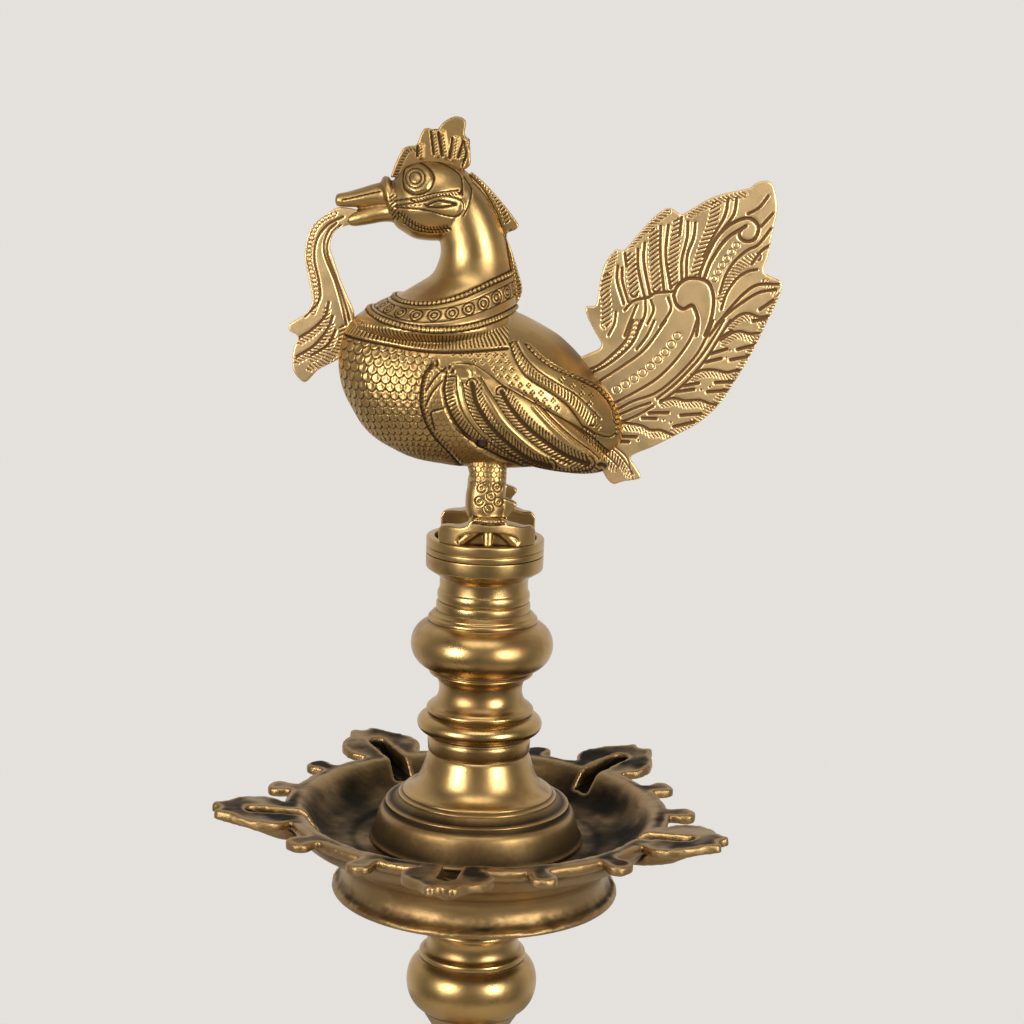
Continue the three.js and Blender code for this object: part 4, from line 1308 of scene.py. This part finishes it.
FEATHER_RIBS = [
    [(57.5, 138.5), (57.5, 131.5), (61, 121)],
    [(59.5, 137.5), (60, 131), (63, 122)],
    [(66.5, 146.5), (67, 137.5), (70.5, 124.5)],
    [(69.5, 149.5), (69.5, 140.5), (73, 125.5)],
    [(76.5, 157.5), (77, 144), (79.5, 127)],
    [(80, 158), (79.5, 144), (82.5, 129)],
    [(89, 160), (89, 152.5), (87, 142), (87.5, 133)],
    [(92.5, 159.5), (92, 152.5), (89.5, 144.5), (89.5, 134)],
    [(107, 171), (106, 163.5), (101, 153.5), (97, 144)],
    [(111, 171.5), (110, 164), (105, 156.5)],
    [(60.5, 144.5), (61.5, 138.5)],
    [(86, 162), (85.5, 154)],
]
FEATHER_HATCH = [
    [(53, 134.5), (52, 127.5), (53, 120.5), (53, 111)],
    [(63, 144.5), (64, 137.5), (65.5, 126)],
    [(73.5, 156), (74, 144), (76, 128.5)],
    [(84.5, 161), (83.5, 150.5), (83, 141), (83.5, 130)],
    [(101.5, 169.5), (100.5, 160), (96.5, 147.5), (93.5, 135.5)],
]
STEM_LINES = [
    [(61.5, 118), (65.5, 122.5), (72.5, 124.5), (75.5, 126.5), (84, 127.5)],
    [(67, 120.5), (64.5, 113.5), (62, 106)],
    [(71, 123), (71, 116), (67.5, 106.5)],
    [(73.5, 123), (75, 118.5), (72.5, 112)],
    [(81.5, 124.5), (83, 119), (78.5, 111)],
    [(57.5, 117), (57, 111.5), (54.5, 106)],
    [(42, 88), (50, 91.5), (57, 97.5), (62.5, 104), (65.5, 113.5)],
    [(45, 87), (53.5, 91.5), (61, 97.5), (66.5, 104), (69.5, 113.5)],
    [(68, 100), (72.5, 106.5), (75.5, 113.5)],
    [(50.5, 84), (62.5, 92.5), (72, 100.5), (81, 114)],
    [(59, 74.5), (68.5, 80), (78, 86.5), (86, 95), (92.5, 105), (95.5, 114.5)],
    [(60.5, 71.5), (67.5, 75.5), (77.5, 79.5), (86, 86.5), (95.5, 97.5), (100.5, 107.5), (103, 114.5)],
    [(61.5, 69), (69, 72.5), (75.5, 75)],
    [(62.5, 65.5), (70, 69), (77, 73.5)],
    [(78.5, 77), (87.5, 85), (97, 96), (103.5, 106.5), (108, 115)],
    [(80, 75), (90.5, 84), (99.5, 95), (105, 104.5), (111, 115)],
]
STEM_BEADS = [(43.5, 87.5), (51.7, 91.5), (59, 97.5), (64.5, 104), (67.5, 113)]
WAVES = [
    [(63.5, 65), (71.5, 64), (76, 62), (81, 62), (87.5, 59.5)],
    [(80, 76), (86.5, 77.5), (91.5, 76.5), (98.5, 77), (103, 75.5), (106.5, 75)],
    [(94, 88.5), (98.5, 91), (104.5, 91.5), (110.5, 90.5), (114.5, 91.5), (119, 91.5)],
    [(107, 105.5), (112, 109), (116, 110), (120.5, 109), (127.5, 110)],
    [(110, 113), (115, 117.5), (119.5, 118.5), (124, 117), (128.5, 117.5)],
]
WEDGES = [
    [(75, 70), (84, 70.5)], [(72, 67.5), (78.5, 67.5)], [(90, 69.5), (99.5, 70.5)],
    [(87, 64), (96.5, 66.5)], [(91, 83.5), (97.5, 85)], [(105.5, 85.5), (115, 86.5)],
    [(87.5, 80.5), (95.5, 82)], [(102, 81), (111, 82)], [(100.5, 95), (107.5, 97)],
    [(102.5, 99), (110, 101.5)], [(115, 101.5), (123.5, 104)], [(112, 96.5), (121, 98.5)],
    [(106.5, 106.5), (112, 110)], [(124.5, 120.5), (130.5, 125)], [(121.5, 115), (129.5, 117)],
    [(60.5, 56), (66, 56)], [(61.5, 58.5), (69.5, 58.5)],
]
PUNCHED = [(99, 82), (103, 83.5), (110, 97.5), (111.5, 101), (82, 67), (85.5, 66), (70.5, 57)]
COVERT_LINES = [
    [(52.5, 56.5), (62, 49.5), (69, 40.5)],
    [(49, 52.5), (56, 49), (61.5, 44)],
    [(54.5, 57), (65, 49), (68, 40.5)],
]
TIP_HATCH = [
    [(51.5, 130), (56, 145)],
    [(62.5, 147.5), (70, 156), (79.5, 164.5)],
    [(89, 162.5), (100, 169), (115, 173.5)],
]
TAIL_EDGE = [
    (125.5, 134), (132, 127), (129.5, 119), (125, 109.5), (120, 99), (113.2, 86.5), (106, 76),
    (97.5, 67.8), (86.5, 61.2),
]
GARLAND_BEADS = [(-74, 158.5), (-81.5, 154), (-85, 146.5), (-86, 137), (-83, 125.5), (-82, 118), (-83.5, 112)]
GARLAND_LINES = [
    [(-70.5, 157), (-77.5, 153), (-82.5, 146), (-83.5, 137), (-81, 125.5), (-81, 117.5), (-87.5, 110)],
    [(-73.5, 154), (-77.5, 149.5), (-79, 140.5), (-73.5, 126.5), (-70, 115), (-68, 107)],
    [(-71.5, 153), (-76, 148), (-77.5, 140), (-72, 125.5), (-68, 114), (-66.5, 109)],
]
GARLAND_LEAF = [
    [(-76.5, 117), (-78, 110.5), (-84, 104), (-90, 100)],
    [(-74.5, 110.5), (-77, 104), (-83, 96.5), (-91, 91)],
    [(-73, 104), (-76.5, 97), (-84, 92)],
]
GARLAND_HATCH = [(-69.5, 106), (-70.5, 97), (-77.5, 89.5), (-85.5, 85.5)]
MANE_LINES = [
    [(-15, 180.5), (-6.5, 172), (0, 162), (3, 155)], [(4.5, 151.5), (6.5, 142.5), (8, 134), (10, 121.5)],
]
CREST_RIDGES = [
    [(-31, 197.5), (-29.5, 187)], [(-27.5, 197), (-25.5, 186.5)], [(-21, 194.5), (-22, 185.5)],
    [(-16, 193.5), (-18, 186)], [(-37, 190.5), (-37, 186)], [(-15.5, 193), (-14.5, 187.5), (-16, 182)],
]


def chase_tail(relief):
    """Scrolls and leaves above, feathers in the middle, waves and wedges below."""
    relief.groove(*SCROLL, *UPPER_SCROLL, width=2.8, depth=0.85)
    relief.groove(*RIGHT_LEAF, width=2.4, depth=0.75)
    relief.groove(*FEATHER_RIBS, width=2.5, depth=0.75)
    relief.groove(*STEM_LINES, width=2.3, depth=0.7)
    relief.hatch(halfway(RIGHT_LEAF[0][:5], RIGHT_LEAF[1]), width=5, pitch=1.7)
    for line in FEATHER_HATCH:
        relief.hatch(line, width=5.0, pitch=2.2, depth=0.7, lean=0.7)
    for line in TIP_HATCH:
        relief.hatch(line, width=3.6, pitch=1.9, depth=0.5, lean=1.0)
    for line, pitch, radius in CIRCLE_ROWS:
        relief.rings(line, pitch, radius, depth=0.5, width=0.85)
    relief.beads(STEM_BEADS, pitch=2.3, height=0.4)
    relief.groove(*WAVES, width=2.4, depth=0.7)
    for wave in WAVES:
        relief.hatch(shifted(wave, 0.5, -2.2), width=3.2, pitch=1.7, depth=0.55, lean=0.8)
    relief.groove(*WEDGES, width=2.8, depth=0.8)
    relief.dots(PUNCHED, radius=0.8)
    relief.hatch(TAIL_EDGE, width=3.8, pitch=1.6, depth=0.42, lean=0.4)
    relief.groove(*COVERT_LINES, width=1.2, depth=0.5)
    for line in COVERT_LINES[:2]:
        relief.hatch(shifted(line, -1, -2), width=3.4, pitch=1.7, lean=0.7)


def chase_garland(relief):
    """A beaded stem, with leaves on the lobe that hangs below it."""
    relief.beads(GARLAND_BEADS, pitch=2.0, height=0.4)
    relief.groove(*GARLAND_LINES, width=2.0, depth=0.7)
    relief.groove(*GARLAND_LEAF, width=2.3, depth=0.75)
    for line in GARLAND_LEAF:
        relief.hatch(shifted(line, -0.5, -2.4), width=3.8, pitch=1.9, depth=0.6, lean=0.7)
    relief.hatch(GARLAND_HATCH, width=4.0, pitch=1.9, depth=0.6, lean=0.5)


def chase_mane(relief):
    relief.groove(*MANE_LINES, width=1.2, depth=0.45)
    for line in MANE_LINES:
        relief.hatch(shifted(line, 2.8, 1.2), width=3.0, pitch=1.8, depth=0.42, lean=0.3)


def chase_crest(relief):
    relief.groove(*CREST_RIDGES, width=1.7, depth=0.5)
    for line in CREST_RIDGES[:5]:
        relief.ridge(shifted(line, 2.0, 0), width=4.0, height=1.0)
        relief.hatch(shifted(line, 1.8, 0), width=2.2, pitch=1.5, depth=0.3, lean=0.6)
    relief.hatch(shifted(CREST_OUTLINE[1:5], 1.8, -1.6), width=2.4, pitch=1.5, depth=0.3)


def chased_plate(name, outline, thickness, node, material, work, dull=0.0):
    """A standing plate chased alike on both sides, dulled all over by the share given."""
    skin = casting(name, [standing(name, outline, thickness)], 0.4, relaxed=5)
    for side in (-1, 1):
        work(plate_relief(skin, side))
    chase(skin)
    skin.fields["grime_and_shade"] = np.clip(skin.fields["grime_and_shade"] + dull, 0, 1)
    return finished(name, skin, "finial", [node], material)


# ---- Legs and webbed feet ----
# Oval sections down the leg and along each toe: x, y, height, half size in plane and half across.
LEG = [
    (1.3, -18.5, 16.4, 0, 0), (1.3, -18.5, 17, 6, 5.4), (0.6, -18, 20.5, 7.6, 6.2),
    (-0.2, -17.6, 24.5, 9.2, 6.8), (-0.3, -17.2, 31, 9.3, 7.2), (0.4, -16.5, 37, 8.7, 7.6),
    (0.4, -16, 42, 8.8, 7.8), (-0.5, -15.5, 47, 9, 7), (-1, -15, 52, 7, 5), (-1, -15, 54, 0, 0),
]
FOOT_OUTLINE = [
    (-21.6, 6), (-21.9, 14.2), (-20.5, 16.2), (-16.5, 16.8), (-12, 16.6), (-8, 18.2), (-5.6, 21.5),
    (8.2, 21.5), (10.2, 18.8), (13, 18.4), (17.6, 17.2), (22.6, 16.4), (22.9, 6),
]
TOES = [
    [
        (1.5, -20.5, 19, 0, 0), (1.5, -20.8, 18, 3.2, 3), (1.5, -22.6, 13, 2.5, 2.6),
        (1.5, -24.6, 8.8, 2.2, 2), (1.5, -25.2, 7.6, 0, 0),
    ],
    [
        (-1, -20.5, 19, 0, 0), (-2, -20.8, 17.5, 3, 3), (-6, -21.6, 13.5, 2.4, 2.6),
        (-11, -21.8, 9.6, 2, 2), (-13, -21.8, 8.2, 0, 0),
    ],
    [
        (4, -20.5, 19, 0, 0), (5, -20.8, 17.5, 3, 3), (9.5, -21.6, 13.5, 2.4, 2.6),
        (14, -21.8, 9.6, 2, 2), (16, -21.8, 8.2, 0, 0),
    ],
]
SHIN_FOOT, SHIN_TOP = 32, 60
SPUR = [(2, 24), (6.5, 29.8), (10.5, 29.6), (14.5, 27.6), (12.5, 24.6), (9.6, 20.2), (4, 20)]
ANKLET = [(-6, 15.2), (2, 14.4), (9, 15.2)]
LEG_RINGS = [(1.2, 21.2), (2.0, 27.2), (-3.4, 24.6), (5.8, 24.4), (-2.5, 31), (5.0, 31.4)]


def foot():
    """An arch that stands on the ring, flush with it, over an oval opening where three toes come down."""
    outer = np.array(FOOT_OUTLINE)
    arch = standing("arch", outer, 13)
    arch.transform(Matrix.Translation((0, -21.5, 0)))
    turn = np.linspace(0, 2 * np.pi, 41)[:-1]
    opening = [(1.5 + 14.6 * math.cos(a), 10.4 - 4.9 * math.sin(a)) for a in turn]
    hole = standing("opening", opening, 10)
    hole.transform(Matrix.Translation((0, -26, 0)))
    arch = carved(arch, [hole])
    drum = object_of(extruded("drum", circle(RING_RADIUS, 96), RING_TOP + 0.05, RING_TOP + 40))
    arch = modified(object_of(arch), "BOOLEAN", operation="INTERSECT", solver="EXACT", object=drum)
    bpy.data.objects.remove(drum)
    return arch


def leg(name, side, node):
    """One leg with its webbed foot. It is drawn on the near side, and mirrored for the far one."""
    spur = standing("spur", SPUR, 5)
    spur.transform(Matrix.Translation((0, -17.5, 0)))
    parts = [foot(), loft("leg", LEG, 32, 1.0), spur] + [loft("toe", toe, 20, 0.8) for toe in TOES]
    if side > 0:
        for part in parts:
            part.transform(Matrix.Scale(-1, 4, (0, 1, 0)))
            part.flip_normals()
    skin = casting(name, parts, 0.42, relaxed=5)
    relief = side_relief(skin, side)
    x, height = relief.at.T
    shin = relief.live[(height[relief.live] > SHIN_FOOT) & (height[relief.live] < SHIN_TOP)]
    relief.scales(shin, x[shin], -height[shin], 3.0, 2.5, depth=0.32, swell=0.2)
    for place in LEG_RINGS:
        relief.ring(place, 2.2, depth=0.42, width=0.9)
        relief.ring(place, 0.6, depth=0.35, width=0.9)
    relief.groove(shifted(ANKLET, 0, 2.0), shifted(ANKLET, 0, -1.4), width=1.3, depth=0.55)
    relief.beads(shifted(ANKLET, 0, 0.3), pitch=1.9, height=0.4)
    chase(skin)
    return finished(name, skin, "finial", [node], BIRD)


bird_body()
chased_plate("chased_tail", TAIL_OUTLINE, 5, "bird_tail", TAIL, chase_tail)
chased_plate("chased_garland", GARLAND_OUTLINE, 5, "beak_garland", TAIL, chase_garland)
chased_plate("chased_mane", MANE_OUTLINE, 4, "bird_mane", BIRD, chase_mane)
chased_plate("chased_crest", CREST_OUTLINE, 6, "bird_crest", BIRD, chase_crest, dull=0.26)
leg("chased_right_leg", -1, "right_leg")
leg("chased_left_leg", 1, "left_leg")


# ---- Camera, light and floor ----
LIGHT_COLOUR = (1, 0.97, 0.92)


def camera():
    """The photographer's view: a long lens a little above the bird, rolled slightly."""
    data = bpy.data.cameras.new("camera")
    data.lens = LENS
    data.sensor_width = SENSOR
    data.clip_end = 50
    holder = bpy.data.objects.new("camera", data)
    tilt, roll = math.radians(CAMERA_TILT), math.radians(CAMERA_ROLL)
    forward = np.array([0, math.cos(tilt), -math.sin(tilt)])
    right = np.array([1.0, 0, 0])
    up = np.cross(right, forward)
    across = right * math.cos(roll) + up * math.sin(roll)
    above = up * math.cos(roll) - right * math.sin(roll)
    place = np.array(CAMERA) * METRE
    columns = np.stack([across, above, -forward, place], 1)
    holder.matrix_world = Matrix(np.vstack([columns, [0, 0, 0, 1]]).tolist())
    bpy.context.scene.collection.objects.link(holder)
    bpy.context.scene.camera = holder


def area_light(name, azimuth, elevation, distance, size, power, target):
    data = bpy.data.lights.new(name, "AREA")
    data.shape = "RECTANGLE"
    data.size, data.size_y = size
    data.energy = power
    data.color = LIGHT_COLOUR
    light = bpy.data.objects.new(name, data)
    a, e = math.radians(azimuth), math.radians(elevation)
    out = np.array([math.cos(a) * math.cos(e), math.sin(a) * math.cos(e), math.sin(e)])
    side = np.cross([0, 0, 1], out)
    side /= np.linalg.norm(side)
    columns = np.stack([side, np.cross(out, side), out, np.array(target) + out * distance], 1)
    light.matrix_world = Matrix(np.vstack([columns, [0, 0, 0, 1]]).tolist())
    bpy.context.scene.collection.objects.link(light)


def studio():
    """A pale room, brighter behind the lamp than in front, with two lights in front and one above."""
    world = bpy.data.worlds.new("studio")
    bpy.context.scene.world = world
    world.use_nodes = True
    tree = world.node_tree
    direction = wired(tree, "TexCoord", {}, "Generated")
    depth = wired(tree, "SeparateXYZ", {"Vector": direction}, "Y")
    glow = ranged(tree, depth, -0.2, 0.7, 0.16, 0.80)
    seen = wired(tree, "LightPath", {}, "Is Camera Ray")
    background = tree.nodes["Background"]
    background.inputs["Color"].default_value = (1.0, 0.965, 0.925, 1)
    strength = wired(tree, "Mix", {"Factor": seen, "A": glow, "B": 0.78}, "Result")
    tree.links.new(strength, background.inputs["Strength"])
    area_light("key_left", -132, 10, 1.6, (0.55, 0.7), 20, (0, 0, 0.72))
    area_light("key_right", -47, 10, 1.6, (0.55, 0.7), 20, (0, 0, 0.72))
    area_light("top", -90, 62, 1.8, (1.4, 0.8), 12, (0, 0, 0.75))


FLOOR_RADIUS, FLOOR_GAP, FLOOR_SIDES = 0.95, 0.0005, 96  # metres, metres and a count


def floor():
    """A pale round sheet just under the foot."""
    points = [(x, y, -FLOOR_GAP) for x, y in circle(FLOOR_RADIUS, FLOOR_SIDES)]
    sheet = bpy.data.objects.new("floor", mesh_of("floor", points, [list(range(FLOOR_SIDES))]))
    material = bpy.data.materials.new("floor")
    material.use_nodes = True
    shader = material.node_tree.nodes["Principled BSDF"]
    shader.inputs["Base Color"].default_value = (0.50, 0.48, 0.455, 1)
    shader.inputs["Roughness"].default_value = 0.8
    sheet.data.materials.append(material)
    bpy.context.scene.collection.objects.link(sheet)


camera()
studio()
floor()
bpy.context.scene.view_settings.view_transform = "Standard"
